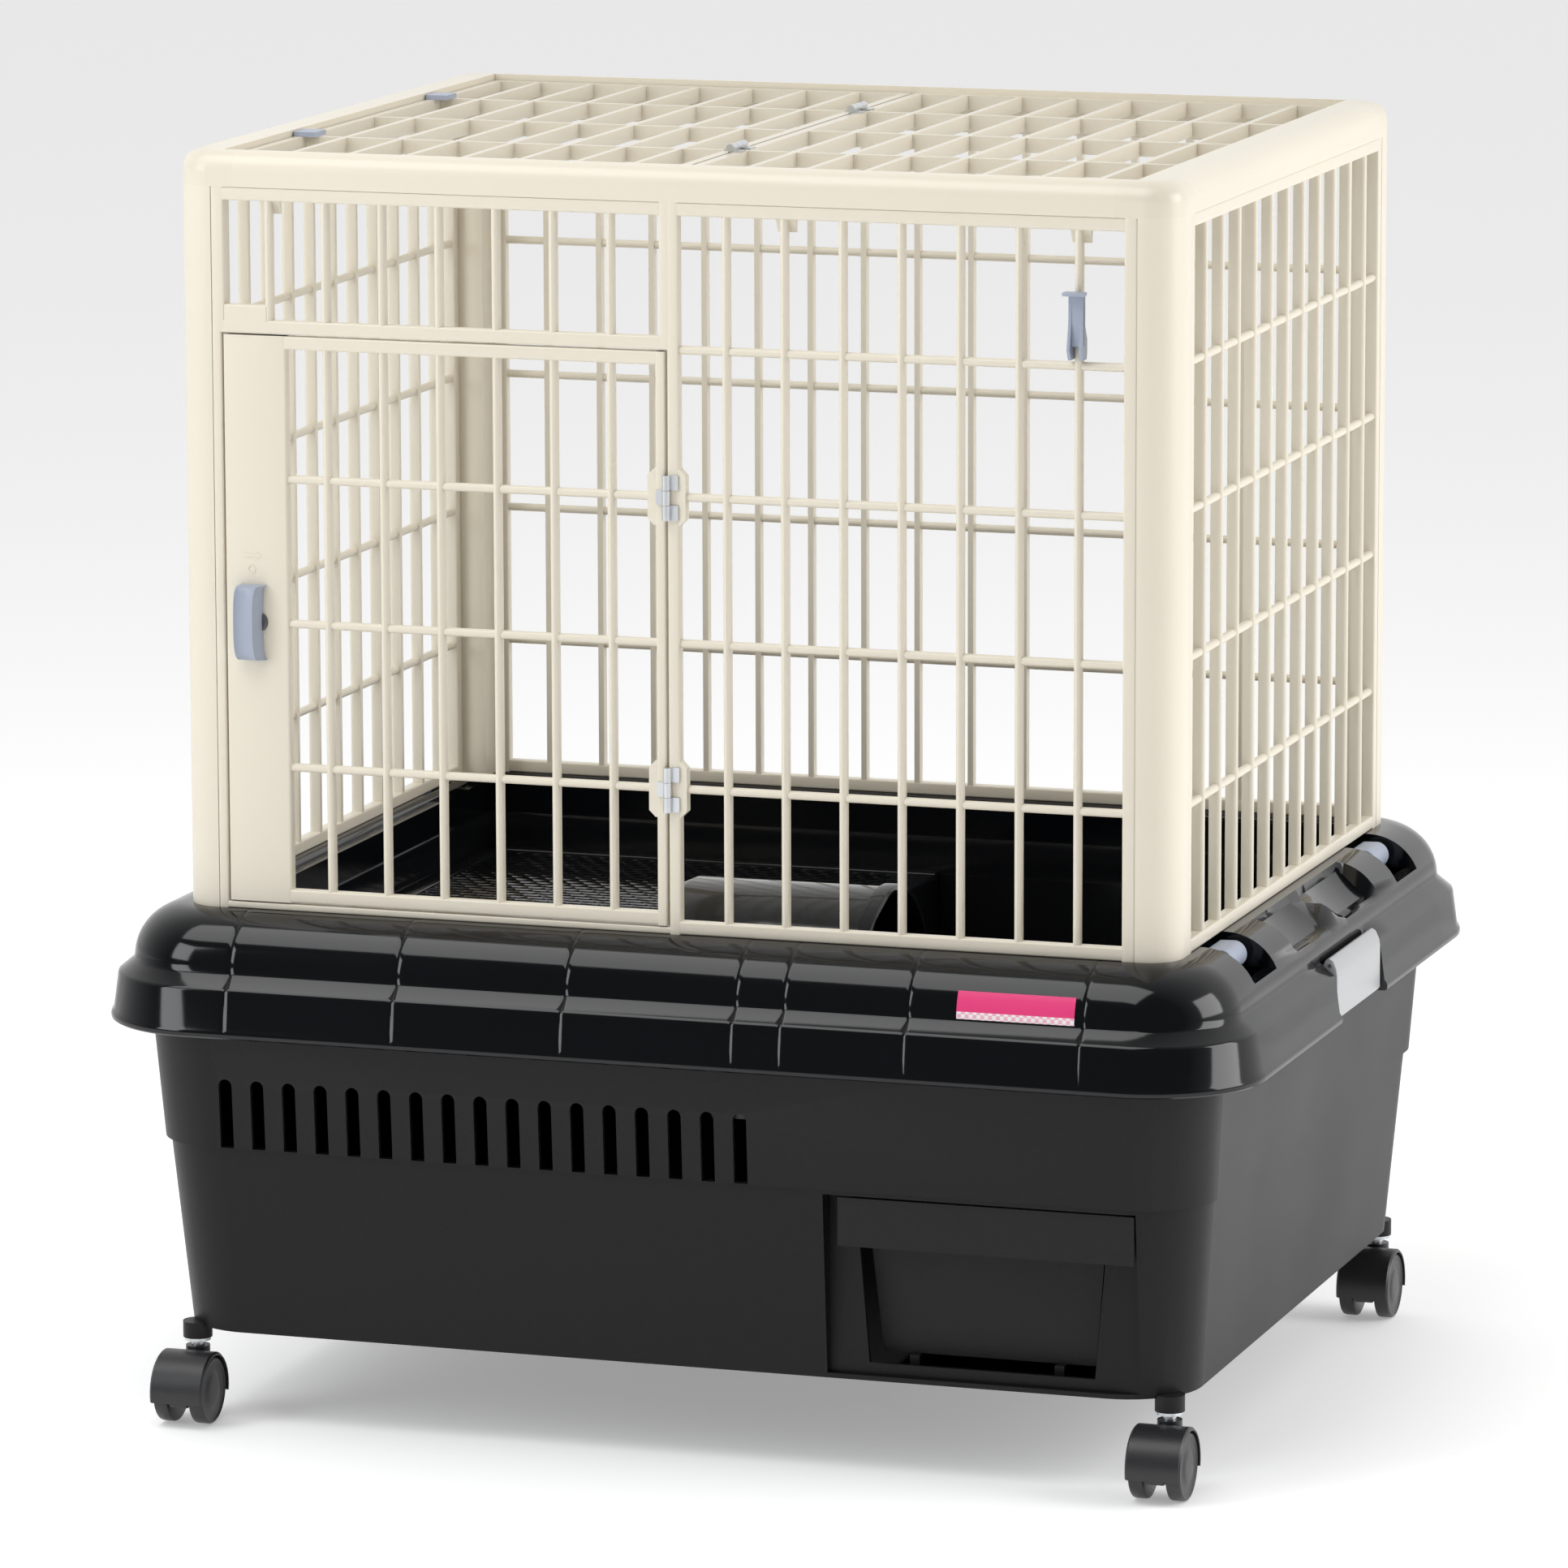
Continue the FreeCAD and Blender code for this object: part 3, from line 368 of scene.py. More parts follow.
def front_wall():
    low, high = front_low.x, front_high.x
    wall = Wall(FRONT, 1, "x")
    wall.strip(low, low + JAMB, SEAT, DOOR_TOP + RAIL)
    wall.strip(low, low + RAIL, DOOR_TOP + 2 * MM, CAGE_TOP, inset=RAIL_INSET * 0.5)
    wall.strip(high - RAIL, high, SEAT, CAGE_TOP)
    wall.strip(0, MULLION, SEAT, CAGE_TOP)
    wall.strip(-MULLION * 0.7, MULLION * 0.5, DOOR_TOP + 2 * MM, CAGE_TOP, inset=RAIL_INSET * 0.5)
    wall.rail(low + 1 * MM, high - 1 * MM, CAGE_TOP - RAIL, CAGE_TOP)
    wall.rail(low + 1 * MM, 1 * MM, DOOR_TOP, DOOR_TOP + RAIL)
    wall.rail(low + RAIL, low + PITCH - 1 * MM, DOOR_TOP + RAIL - 2 * MM, DOOR_TOP + RAIL + 9 * MM,
              inset=RAIL_INSET * 1.5)
    wall.rail(low + 1 * MM, 1 * MM, SEAT, SEAT + 4 * MM, 0.8 * MM)
    wall.rail(1 * MM, high - 1 * MM, SEAT, SEAT + RAIL)
    for k in range(1, 8):
        wall.bar(k * PITCH, SEAT + 2 * MM, CAGE_TOP - 2 * MM)
        wall.bar(-k * PITCH, DOOR_TOP + 2 * MM, CAGE_TOP - 2 * MM)
    for k in range(1, 5):
        wall.rod(SEAT + ROW * k, 2 * MM, high - 2 * MM)
    for k in (-7, 2, 7):
        wall.gusset(k * PITCH, CAGE_TOP - RAIL + 1 * MM)
    for z in hinge_heights():
        boss(wall, PAD_HALF + 0.2 * MM, z)
    wall.shape.done("front_panel_moulding", ivory, "root", ("front_panel",), slot="cage_plastic")


def hinge_heights():
    return (SEAT + ROW * 3, SEAT + ROW)


def boss(wall, u, z, half=PAD_HALF, tall=17 * MM):
    """An eight-sided pad behind a hinge."""
    cut = 4 * MM
    outline = [(half, tall - cut), (half - cut, tall), (-half + cut, tall), (-half, tall - cut),
               (-half, -tall + cut), (-half + cut, -tall), (half - cut, -tall), (half, -tall + cut)]
    face = [wall.spot(u + a, 0.2 * MM, z + b) for a, b in outline]
    wall.shape.prism(face, (0, BAR_DEPTH * 0.8, 0))


def door_moulding():
    low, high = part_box("door")
    wall = Wall(low.y, 1, "x")
    stile = 40 * MM
    foot, top = low.z, high.z
    wall.strip(low.x, low.x + stile, foot, top, 1.6 * MM)
    wall.strip(high.x - JAMB, high.x, foot, top)
    wall.rail(low.x + 2 * MM, high.x - 1 * MM, top - RAIL, top)
    wall.rail(low.x + 2 * MM, high.x - 1 * MM, foot, foot + RAIL)
    for k in range(1, 7):
        wall.bar(-k * PITCH, foot + 2 * MM, top - 2 * MM)
    for k in range(1, 4):
        wall.rod(SEAT + ROW * k, low.x + stile - 2 * MM, high.x - 2 * MM)
    for z in hinge_heights():
        boss(wall, high.x - PAD_HALF, z)
    grip_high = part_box("door_latch")[1]
    door_mark(wall, low.x + stile * 0.42, grip_high.z + 9 * MM)
    wall.shape.done("door_moulding", ivory, "door", ("door",), slot="cage_plastic")


def door_mark(wall, u, z):
    """A raised ring with an arrow over it, pointing the way the grip slides."""
    outer, inner = circle(2.6 * MM, 20), circle(1.9 * MM, 20)
    proud = -0.35 * MM
    rings = [[wall.spot(u + a, d, z + b) for a, b in ring] for ring, d in
             ((outer, 0.5 * MM), (outer, proud), (inner, proud), (inner, 0.5 * MM))]
    wall.shape.stack(rings, close=False)
    arrow = [(-5, -0.7), (3, -0.7), (3, -2), (6.5, 0.3), (3, 2.6), (3, 1.3), (-5, 1.3)]
    wall.shape.prism([wall.spot(u + a * MM, proud, z + (8 + b) * MM) for a, b in arrow], (0, 0.85 * MM, 0))


front_wall()
plain_wall("rear_panel", BACK, -1, "x", rear_low.x, rear_high.x, PITCH, 16)
side_pitch = (left_high.y - left_low.y) / 12
plain_wall("left_panel", -HALF_W, 1, "y", left_low.y, left_high.y, side_pitch, 12)
plain_wall("right_panel", HALF_W, -1, "y", right_low.y, right_high.y, side_pitch, 12)
door_moulding()


# ------------------------------------------------------------------ latch grip, bottle hook
def latch_grip():
    low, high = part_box("door_latch")
    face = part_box("door")[0].y
    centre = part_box("door")[0].x + 17 * MM
    half_z = (high.z - low.z) / 2
    mid_z = (high.z + low.z) / 2
    shape = Shape()
    steps = 18
    loops = []
    for k in range(steps + 1):
        t = -1 + 2 * k / steps
        z = mid_z + half_z * 0.985 * math.sin(t * math.pi / 2)
        swell = math.sqrt(max(1 - (abs(t) ** 2.6), 0.02))
        proud = 12.4 * MM * (0.35 + 0.65 * swell)
        left = centre - 10 * MM * (0.62 + 0.38 * swell)
        right = centre + 10 * MM - 3.2 * MM * swell
        outline = [(left, face - 0.1 * MM), (left, face - proud * 0.55), (left + 2.2 * MM, face - proud),
                   (left + 3.2 * MM, face - proud + 0.9 * MM), (right - 3.4 * MM, face - proud + 0.9 * MM),
                   (right - 2.4 * MM, face - proud), (right, face - proud * 0.55), (right, face - 0.1 * MM)]
        loops.append(along_z(outline, z))
    shape.stack(loops)
    bolt_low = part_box("door")[1].y + 0.3 * MM
    block(shape, (low.x + 2 * MM, bolt_low, mid_z - 6 * MM), (low.x + 25 * MM, high.y, mid_z + 6 * MM),
          1 * MM, "x")
    shape.done("latch_grip", blue_grey, "door_latch", ("door_latch",), smooth=50, slot="clip_plastic")
    disc = Shape()
    ring = [(centre + 4 * MM + a, mid_z + b) for a, b in circle(6 * MM, 24)]
    small = [(centre + 4 * MM + a * 0.8, mid_z + b * 0.8) for a, b in circle(6 * MM, 24)]
    disc.stack([along_y(ring, face - 0.2 * MM), along_y(ring, face - 1.6 * MM),
                along_y(small, face - 2.4 * MM)])
    disc.done("latch_boss", dark_grey, "door_latch", slot="clip_plastic")


def bottle_hook():
    low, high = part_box("bottle_hook")
    mid = (low.x + high.x) / 2
    shape = Shape()
    width, cheek = 4.6 * MM, 2 * MM
    top = high.z
    shape.prism([(mid - width, FRONT - 1 * MM, low.z + 8 * MM),
                 (mid + width, FRONT - 1 * MM, low.z + 8 * MM),
                 (mid + width, FRONT - 3 * MM, low.z + 8 * MM),
                 (mid - width, FRONT - 3 * MM, low.z + 8 * MM)],
                (0, 0, top - low.z - 9 * MM))
    for side in (-1, 1):
        inner = mid + side * (width - cheek)
        outline = [
            (FRONT - 7 * MM, low.z + 6 * MM),
            (FRONT - 4 * MM, low.z),
            (FRONT + 4 * MM, low.z),
            (FRONT + 5 * MM, low.z + 4 * MM),
            (FRONT + 5 * MM, low.z + 12 * MM),
            (FRONT + 1 * MM, low.z + 20 * MM),
            (FRONT + 1 * MM, top - 1 * MM),
            (FRONT - 3 * MM, top - 1 * MM),
            (FRONT - 3.5 * MM, low.z + 22 * MM),
        ]
        shape.prism(along_x(outline, inner), (side * cheek, 0, 0))
    tab = rounded_rect(low.x, high.x - 1 * MM, FRONT - 9 * MM, FRONT - 0.5 * MM, 1.4 * MM)
    shape.prism(along_z(tab, top - 2 * MM), (0, 0, 2 * MM))
    shape.done("bottle_hook_moulding", blue_grey, "bottle_hook", ("bottle_hook",), bevel=0.3 * MM,
               slot="clip_plastic")


latch_grip()
bottle_hook()


# ------------------------------------------------------------------ deck
DOME_FOOT = 2 * MM
DOME_OUT = 36 * MM
DOME_HIGH = 33 * MM
LEDGE_OUT = deck_high.x - HALF_W - 5 * MM
SKIRT_OUT = deck_high.x - HALF_W
SKIRT_Z = SEAT - 71 * MM
LEDGE_Z = SEAT - 42 * MM
BOWL_IN = 24 * MM
CLIP_SPOTS = [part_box(f"clip_{c}") for c in ("front_right", "rear_right")]
NOTCH_HALF = 24 * MM
NOTCH_Z = 299.5 * MM
BUCKLE_HALF = 52 * MM
SEAM_STEP = 107 * MM
EXTRA_SEAM = 0.78 * SEAM_STEP
SEAM_DEEP = 0.3 * MM


def deck_profile():
    """The ring's closed section as (out from the cage wall, height)."""
    dome = []
    steps = 12
    for k in range(steps + 1):
        t = math.pi / 2 * k / steps
        out = DOME_FOOT + (DOME_OUT - DOME_FOOT) * math.sin(t)
        dome.append((out, SEAT - DOME_HIGH + DOME_HIGH * math.cos(t)))
    ledge = [
        (DOME_OUT + 1.2 * MM, LEDGE_Z + 7.4 * MM),
        (LEDGE_OUT - 1.5 * MM, LEDGE_Z + 1.2 * MM),
        (LEDGE_OUT - 0.4 * MM, LEDGE_Z + 0.4 * MM),
        (LEDGE_OUT + 0.2 * MM, LEDGE_Z - 1 * MM),
    ]
    lip = [
        (SKIRT_OUT - 2 * MM, SKIRT_Z + 7 * MM),
        (SKIRT_OUT - 0.6 * MM, SKIRT_Z + 5 * MM),
        (SKIRT_OUT, SKIRT_Z + 3 * MM),
        (SKIRT_OUT - 0.3 * MM, SKIRT_Z + 1 * MM),
        (SKIRT_OUT - 1.5 * MM, SKIRT_Z),
        (SKIRT_OUT - 4 * MM, SKIRT_Z + 1 * MM),
    ]
    inside = [
        (LEDGE_OUT - 3 * MM, LEDGE_Z - 4 * MM),
        (DOME_OUT - 3 * MM, LEDGE_Z),
        (DOME_OUT * 0.7, SEAT - 16 * MM),
        (6 * MM, SEAT - 4 * MM),
        (-BOWL_IN + DECK_WALL, SEAT - 4 * MM),
        (-BOWL_IN + DECK_WALL, tray_low.z - 2 * MM),
    ]
    bowl = [
        (-BOWL_IN, tray_low.z - 2 * MM),
        (-BOWL_IN, SEAT - 26 * MM),
        (-BOWL_IN + 0.5 * MM, SEAT - 24 * MM),
        (-BOWL_IN + 8 * MM, SEAT - 23 * MM),
        (-BOWL_IN + 9.5 * MM, SEAT - 21 * MM),
        (-BOWL_IN + 10 * MM, SEAT - 3 * MM),
        (-BOWL_IN + 12 * MM, SEAT - 0.6 * MM),
        (-BOWL_IN + 14 * MM, SEAT),
    ]
    return dome + ledge + lip + inside + bowl


def ring_stations():
    """Stations round the cage: a point, its outward direction, the run's name and the place on it."""
    run_x, run_y = HALF_W - POST_ROUND, HALF_D - POST_ROUND
    groove = 0.9 * MM
    flank = 3 * MM
    seams = [SEAM_STEP * k for k in (-2.5, -1.5, -0.5, 0.5, 1.5, 2.5)]
    across = sorted({-run_x, run_x, *[s + g for s in seams for g in (-flank, -groove, 0, groove, flank)],
                     *[EXTRA_SEAM + g for g in (-flank, -groove, 0, groove, flank)]})
    edge = 0.6 * MM
    breaks = {-run_y, run_y}
    for low, high in CLIP_SPOTS:
        centre = (low.y + high.y) / 2
        for side in (-1, 1):
            breaks |= {centre + side * NOTCH_HALF, centre + side * (NOTCH_HALF + edge * 2)}
    for size in (BUCKLE_HALF + edge, BUCKLE_HALF + edge * 3, HAND_HALF, HAND_HALF + 6 * MM, RIB_HALF,
                 RIB_HALF - 3 * MM, 0.1 * MM):
        breaks |= {-size, size}
    upward = sorted(breaks)
    stations = []

    def corner(x, y, start):
        steps = 16
        for k in range(1, steps):
            angle = math.radians(start + 90 * k / steps)
            stations.append((x, y, math.cos(angle), math.sin(angle), "corner", 0))

    for x in across:
        stations.append((x, -run_y, 0, -1, "front", x))
    corner(run_x, -run_y, -90)
    for y in upward:
        stations.append((run_x, y, 1, 0, "side", y))
    corner(run_x, run_y, 0)
    for x in reversed(across):
        stations.append((x, run_y, 0, 1, "back", x))
    corner(-run_x, run_y, 90)
    for y in reversed(upward):
        stations.append((-run_x, y, -1, 0, "side", y))
    corner(-run_x, -run_y, 180)
    return stations, seams + [EXTRA_SEAM]


HAND_HALF = 92 * MM
RIB_HALF = 20 * MM


def deck_point(profile_point, run, place, seams):
    out, z = profile_point
    outer_skin = out > 1 * MM and z > SKIRT_Z + 6 * MM
    if run in ("front", "back") and outer_skin:
        if any(abs(place - seam) < 0.1 * MM for seam in seams):
            out -= SEAM_DEEP
            z -= SEAM_DEEP
    if run == "side" and out > 1 * MM:
        for low, high in CLIP_SPOTS:
            if abs(place - (low.y + high.y) / 2) <= NOTCH_HALF + 0.1 * MM:
                z = min(z, NOTCH_Z)
        if abs(place) < HAND_HALF + 0.1 * MM and out > 10 * MM:
            floor = SEAT - 20 * MM
            if abs(place) <= RIB_HALF:
                floor += 12 * MM * (1 - abs(place) / RIB_HALF)
            z = min(z, floor)
        if abs(place) <= BUCKLE_HALF + 0.7 * MM and out > DOME_OUT - 1 * MM:
            out = min(out, DOME_OUT)
    return out, z


def deck_ring():
    profile = deck_profile()
    stations, seams = ring_stations()
    loops = []
    for x, y, nx, ny, run, place in stations:
        points = []
        for item in profile:
            out, z = deck_point(item, run, place, seams)
            reach = POST_ROUND + out
            points.append((x + nx * reach, y + ny * reach, z))
        loops.append(points)
    shape = Shape()
    shape.stack(loops, close=False)
    shape.done("deck_ring", gloss_black, "root", ("deck",), smooth=38, slot="deck_plastic")


def deck_floor():
    """The bowl's floor around the well, and the well's four walls."""
    shape = Shape()
    inner_x, inner_y = HALF_W - BOWL_IN + 1 * MM, HALF_D - BOWL_IN + 1 * MM
    floor_top, floor_low = tray_low.z - 0.2 * MM, tray_low.z - 2.6 * MM
    well_left = tray_high.x
    block(shape, (-inner_x, -inner_y, floor_low), (well_left - 3 * MM, inner_y, floor_top), 1 * MM)
    wall = DECK_WALL
    low = deck_low.z
    block(shape, (well_left - wall, -inner_y, low), (well_left, inner_y, floor_top), 0.8 * MM)
    block(shape, (inner_x - wall, -inner_y, low), (inner_x, inner_y, floor_top + 3 * MM), 0.8 * MM)
    for y in (-inner_y, inner_y - wall):
        block(shape, (well_left, y, low), (inner_x, y + wall, floor_top + 3 * MM), 0.8 * MM)
    shape.done("deck_floor", gloss_black, "root", slot="deck_plastic")


deck_ring()
deck_floor()


# ------------------------------------------------------------------ perforated tray, hood, grate
def floor_tray():
    """A tray with rows of short slots, staggered row by row, under a raised rim."""
    low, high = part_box("floor_tray")
    rim = 7 * MM
    gap_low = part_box("tunnel_hood")[0]
    gap_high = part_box("tunnel_hood")[1]
    step_x, step_y = 11.5 * MM, 8 * MM
    slot_x, slot_y = 7.5 * MM, 3.6 * MM
    top = high.z
    under = low.z + 0.4 * MM
    rows = int((high.y - low.y - rim * 2) // step_y)
    columns = int((high.x - low.x - rim * 2) // step_x) - 1
    left = low.x + rim
    first_y = (low.y + high.y - rows * step_y) / 2
    shape = Shape()

    def cell(x, y):
        outer = [(x, y), (x + step_x, y), (x + step_x, y + step_y), (x, y + step_y)]
        mid_x, mid_y = x + step_x / 2, y + step_y / 2
        inner = [(mid_x - slot_x / 2, mid_y - slot_y / 2), (mid_x + slot_x / 2, mid_y - slot_y / 2),
                 (mid_x + slot_x / 2, mid_y + slot_y / 2), (mid_x - slot_x / 2, mid_y + slot_y / 2)]
        rings = [along_z(outer, top), along_z(inner, top - 0.5 * MM), along_z(inner, under),
                 along_z(outer, under)]
        shape.stack(rings, close=False)

    for row in range(rows):
        y = first_y + row * step_y
        shift = step_x / 2 if row % 2 else 0
        for column in range(columns):
            x = left + shift + column * step_x
            hooded = x + step_x > gap_low.x and gap_low.y < y + step_y and y < gap_high.y
            if not hooded:
                cell(x, y)
    field_high = left + (columns + 0.5) * step_x
    block(shape, (low.x, low.y, under), (left + step_x / 2, high.y, top + 1.5 * MM), 1 * MM, "y")
    block(shape, (field_high - step_x / 2, low.y, under - 1 * MM), (high.x, gap_low.y, top + 1 * MM),
          1 * MM, "y")
    block(shape, (field_high - step_x / 2, gap_high.y, under - 1 * MM), (high.x, high.y, top + 1 * MM),
          1 * MM, "y")
    block(shape, (low.x, low.y, under), (high.x, first_y, top + 1.5 * MM), 1 * MM, "x")
    block(shape, (low.x, first_y + rows * step_y, under), (high.x, high.y, top + 1.5 * MM), 1 * MM, "x")
    shape.done("floor_tray_moulding", gloss_black, "root", ("floor_tray",), slot="deck_plastic")


def tunnel_hood():
    low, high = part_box("tunnel_hood")
    mid_y = (low.y + high.y) / 2
    radius = 72 * MM
    axis_z = high.z - radius
    steps = 40
    span = math.acos((low.z - axis_z) / radius)

    def arc(r):
        return [(mid_y + r * math.sin(-span + 2 * span * k / steps),
                 axis_z + r * math.cos(-span + 2 * span * k / steps))
                for k in range(steps + 1)]

    def arch(r_out, r_in):
        return arc(r_out) + list(reversed(arc(r_in)))

    shape = Shape()
    wall = 3 * MM
    shape.stack([along_x(arch(radius * 0.90, radius * 0.85), low.x),
                 along_x(arch(radius - wall * 0.6, radius - wall * 1.6), low.x + 12 * MM),
                 along_x(arch(radius - wall * 0.6, radius - wall * 1.6),
                         high.x - 10 * MM), along_x(arch(radius, radius - wall * 1.6), high.x - 9 * MM),
                 along_x(arch(radius, radius - wall * 1.6),
                         high.x - 1 * MM), along_x(arch(radius - 1 * MM, radius - wall * 1.4), high.x)])
    shape.prism(along_x(arch(radius * 0.9, 2 * MM), low.x + 1 * MM), (wall, 0, 0))
    shape.done("tunnel_hood_moulding", gloss_black, "root", ("tunnel_hood",), smooth=50,
               slot="deck_plastic")


def drawer_grate():
    low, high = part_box("drawer_grate")
    shape = Shape()
    step = 11 * MM
    wire = 1.0 * MM
    z = low.z + 1.5 * MM
    for k in range(int((high.x - low.x) // step) + 1):
        ring = [(low.x + wire + k * step + a, z + b) for a, b in circle(wire, 6)]
        shape.prism(along_y(ring, low.y), (0, high.y - low.y, 0))
    for k in range(int((high.y - low.y) // step) + 1):
        ring = [(low.y + wire + k * step + a, z + b) for a, b in circle(wire, 6)]
        shape.prism(along_x(ring, low.x), (high.x - low.x, 0, 0))
    shape.done("drawer_grate_mesh", charcoal, "root", ("drawer_grate",), slot="tub_plastic")


floor_tray()
tunnel_hood()
drawer_grate()

# ------------------------------------------------------------------ label
label_low, label_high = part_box("front_label")
LABEL_LOW, LABEL_HIGH = label_low.z, label_high.z


def front_label():
    """A film that follows the dome's curve."""
    def skin(z, proud):
        share = min(max((z - (SEAT - DOME_HIGH)) / DOME_HIGH, 0), 1)
        out = DOME_FOOT + (DOME_OUT - DOME_FOOT) * math.sqrt(1 - share * share) + proud
        return FRONT - out

    steps = 8
    heights = [LABEL_LOW + (LABEL_HIGH - LABEL_LOW) * k / steps for k in range(steps + 1)]
    outline = [(skin(z, 0.45 * MM), z) for z in heights]
    outline += [(skin(z, 0.05 * MM), z) for z in reversed(heights)]
    shape = Shape()
    shape.prism(along_x(outline, label_low.x), (label_high.x - label_low.x, 0, 0))
    shape.done("label_film", label_film(), "root", ("front_label",), slot="label_film")


front_label()


# ------------------------------------------------------------------ clips and buckles
def cage_clip(name):
    low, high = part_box(name)
    side = 1 if low.x > 0 else -1
    radius = (high.z - low.z) / 2
    centre_x = side * (max(abs(low.x), abs(high.x)) - radius)
    mid_z = (low.z + high.z) / 2
    shape = Shape()
    outline = [(centre_x + side * radius * 0.97 * math.cos(math.radians(a)),
                mid_z + radius * 0.97 * math.sin(math.radians(a)))
               for a in range(-100, 95, 15)]
    inner_x = side * (HALF_W + 0.8 * MM)
    outline += [(inner_x, mid_z + radius * 0.92), (inner_x, mid_z + radius * 0.35),
                (centre_x - side * radius * 0.8, mid_z + radius * 0.2)]
    shape.prism(along_y(outline, low.y), (0, high.y - low.y, 0))
    shape.done(f"{name}_moulding", blue_grey, name, (name,), smooth=40, bevel=0.8 * MM, slot="clip_plastic")


def buckle(name):
    low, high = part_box(name)
    side = 1 if low.x > 0 else -1
    inner = min(abs(low.x), abs(high.x))
    outer = max(abs(low.x), abs(high.x))
    pin_z = high.z - 5 * MM
    outline = [
        (inner + 1 * MM, pin_z - 4 * MM),
        (inner + 0.5 * MM, pin_z),
        (inner + 2 * MM, pin_z + 3.4 * MM),
        (inner + 4.5 * MM, pin_z + 4.6 * MM),
        (inner + 7 * MM, pin_z + 3 * MM),
        (outer - 0.8 * MM, pin_z - 2 * MM),
        (outer - 0.2 * MM, pin_z - 6 * MM),
        (outer - 0.1 * MM, low.z + 2 * MM),
        (outer - 1.2 * MM, low.z + 0.3 * MM),
        (outer - 3.6 * MM, low.z + 0.3 * MM),
        (outer - 3.8 * MM, pin_z - 5 * MM),
    ]
    shape = Shape()
    shape.prism(along_y([(side * x, z) for x, z in outline], low.y), (0, high.y - low.y, 0))
    shape.done(f"{name}_moulding", light_grey, name, (name,), smooth=45, bevel=0.8 * MM,
               slot="buckle_plastic")


for corner in ("front_left", "front_right", "rear_left", "rear_right"):
    cage_clip(f"clip_{corner}")
for side in ("left", "right"):
    buckle(f"buckle_{side}")


# ------------------------------------------------------------------ casters
def lathe_x(shape, profile, centre_y, centre_z, count=48):
    """A turned solid about an axis along X; profile is (x, radius) pairs from one end to the other."""
    loops = [[(x, centre_y + u * radius, centre_z + v * radius) for u, v in circle(1, count)] for x,
             radius in profile]
    shape.stack(loops)


def caster_wheel(name, body, outward):
    low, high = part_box(name)
    radius = (high.z - low.z) / 2
    y, z = (low.y + high.y) / 2, (low.z + high.z) / 2
    inner, outer = (low.x, high.x) if outward > 0 else (high.x, low.x)
    wide = outer - inner
    shape = Shape()
    profile = [(0.02, 0.5), (0.03, 0.93), (0.08, 0.985), (0.16, 1.0), (0.80, 1.0), (0.90, 0.985),
               (0.955, 0.95), (0.97, 0.92), (0.90, 0.87), (0.88, 0.80), (0.90, 0.56), (0.95, 0.50),
               (0.985, 0.44), (0.99, 0.2), (0.99, 0.08)]
    lathe_x(shape, [(inner + wide * a, radius * b) for a, b in profile], y, z)
    shape.done(f"{name}_tread", caster_black, body, (name,), smooth=35, slot="caster_plastic")


def caster_fork(corner):
    name = f"caster_{corner}_fork"
    low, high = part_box(name)
    wheel_low, wheel_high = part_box(f"caster_{corner}_wheel_right")
    stem_low, stem_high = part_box(f"caster_{corner}_stem")
    radius = (wheel_high.z - wheel_low.z) / 2
    y, z = (wheel_low.y + wheel_high.y) / 2, radius
    mid_x = (stem_low.x + stem_high.x) / 2
    stem_y = (stem_low.y + stem_high.y) / 2
    half = (high.x - low.x) / 2 + 0.5 * MM
    shape = Shape()
    steps = 22

    def arc(r, start=-12, stop=192):
        return [(y + r * math.cos(math.radians(start + (stop - start) * k / steps)),
                 z + r * math.sin(math.radians(start + (stop - start) * k / steps)))
                for k in range(steps + 1)]

    def shell(r_out, r_in):
        return arc(r_out) + list(reversed(arc(r_in)))

    outer, inner = radius + 3.2 * MM, radius + 1.0 * MM
    shape.stack([along_x(shell(outer - 1.2 * MM, inner), mid_x - half),
                 along_x(shell(outer, inner), mid_x - half + 1.2 * MM),
                 along_x(shell(outer, inner), mid_x + half - 1.2 * MM),
                 along_x(shell(outer - 1.2 * MM, inner), mid_x + half)])
    web = arc(outer - 0.6 * MM, 0, 180) + [(y - outer * 0.75, z - 8 * MM), (y + outer * 0.75, z - 8 * MM)]
    shape.prism(along_x(web, mid_x - 5.6 * MM), (11.2 * MM, 0, 0))
    neck = [(mid_x + a, stem_y + b) for a, b in circle(5.8 * MM, 24)]
    collar = [(mid_x + a, stem_y + b) for a, b in circle(7.5 * MM, 24)]
    shape.stack([along_z(neck, z + 12 * MM), along_z(neck, z + 19.8 * MM), along_z(collar, z + 20.4 * MM),
                 along_z(collar, z + 24.3 * MM)])
    shape.done(f"{name}_hood", caster_black, f"caster_{corner}", (name,), smooth=40, slot="caster_plastic")


for corner in ("front_left", "front_right", "rear_left", "rear_right"):
    caster_fork(corner)
    for name, outward in (("left", -1), ("right", 1)):
        caster_wheel(f"caster_{corner}_wheel_{name}", f"caster_{corner}_wheel_{name}", outward)

# ------------------------------------------------------------------ finish of the carried-over CAD pieces
FINISH = {
    "cage_plastic": ivory,
    "deck_plastic": gloss_black,
    "tub_plastic": charcoal,
    "clip_plastic": blue_grey,
    "zinc_steel": zinc,
    "buckle_plastic": light_grey,
    "label_film": gloss_black,
    "caster_plastic": caster_black,
}
slots = {item["node"]: item["material_slot"] for item in frame["record"]["subparts"]}
for name, obj in frame["nodes"].items():
    for index in range(len(obj.material_slots)):
        obj.material_slots[index].material = FINISH[slots[name]]


# ------------------------------------------------------------------ floor, light, camera
FLOOR_REACH = 30
FLOOR_LOW = -0.02
FLOOR_THICK = 0.0195


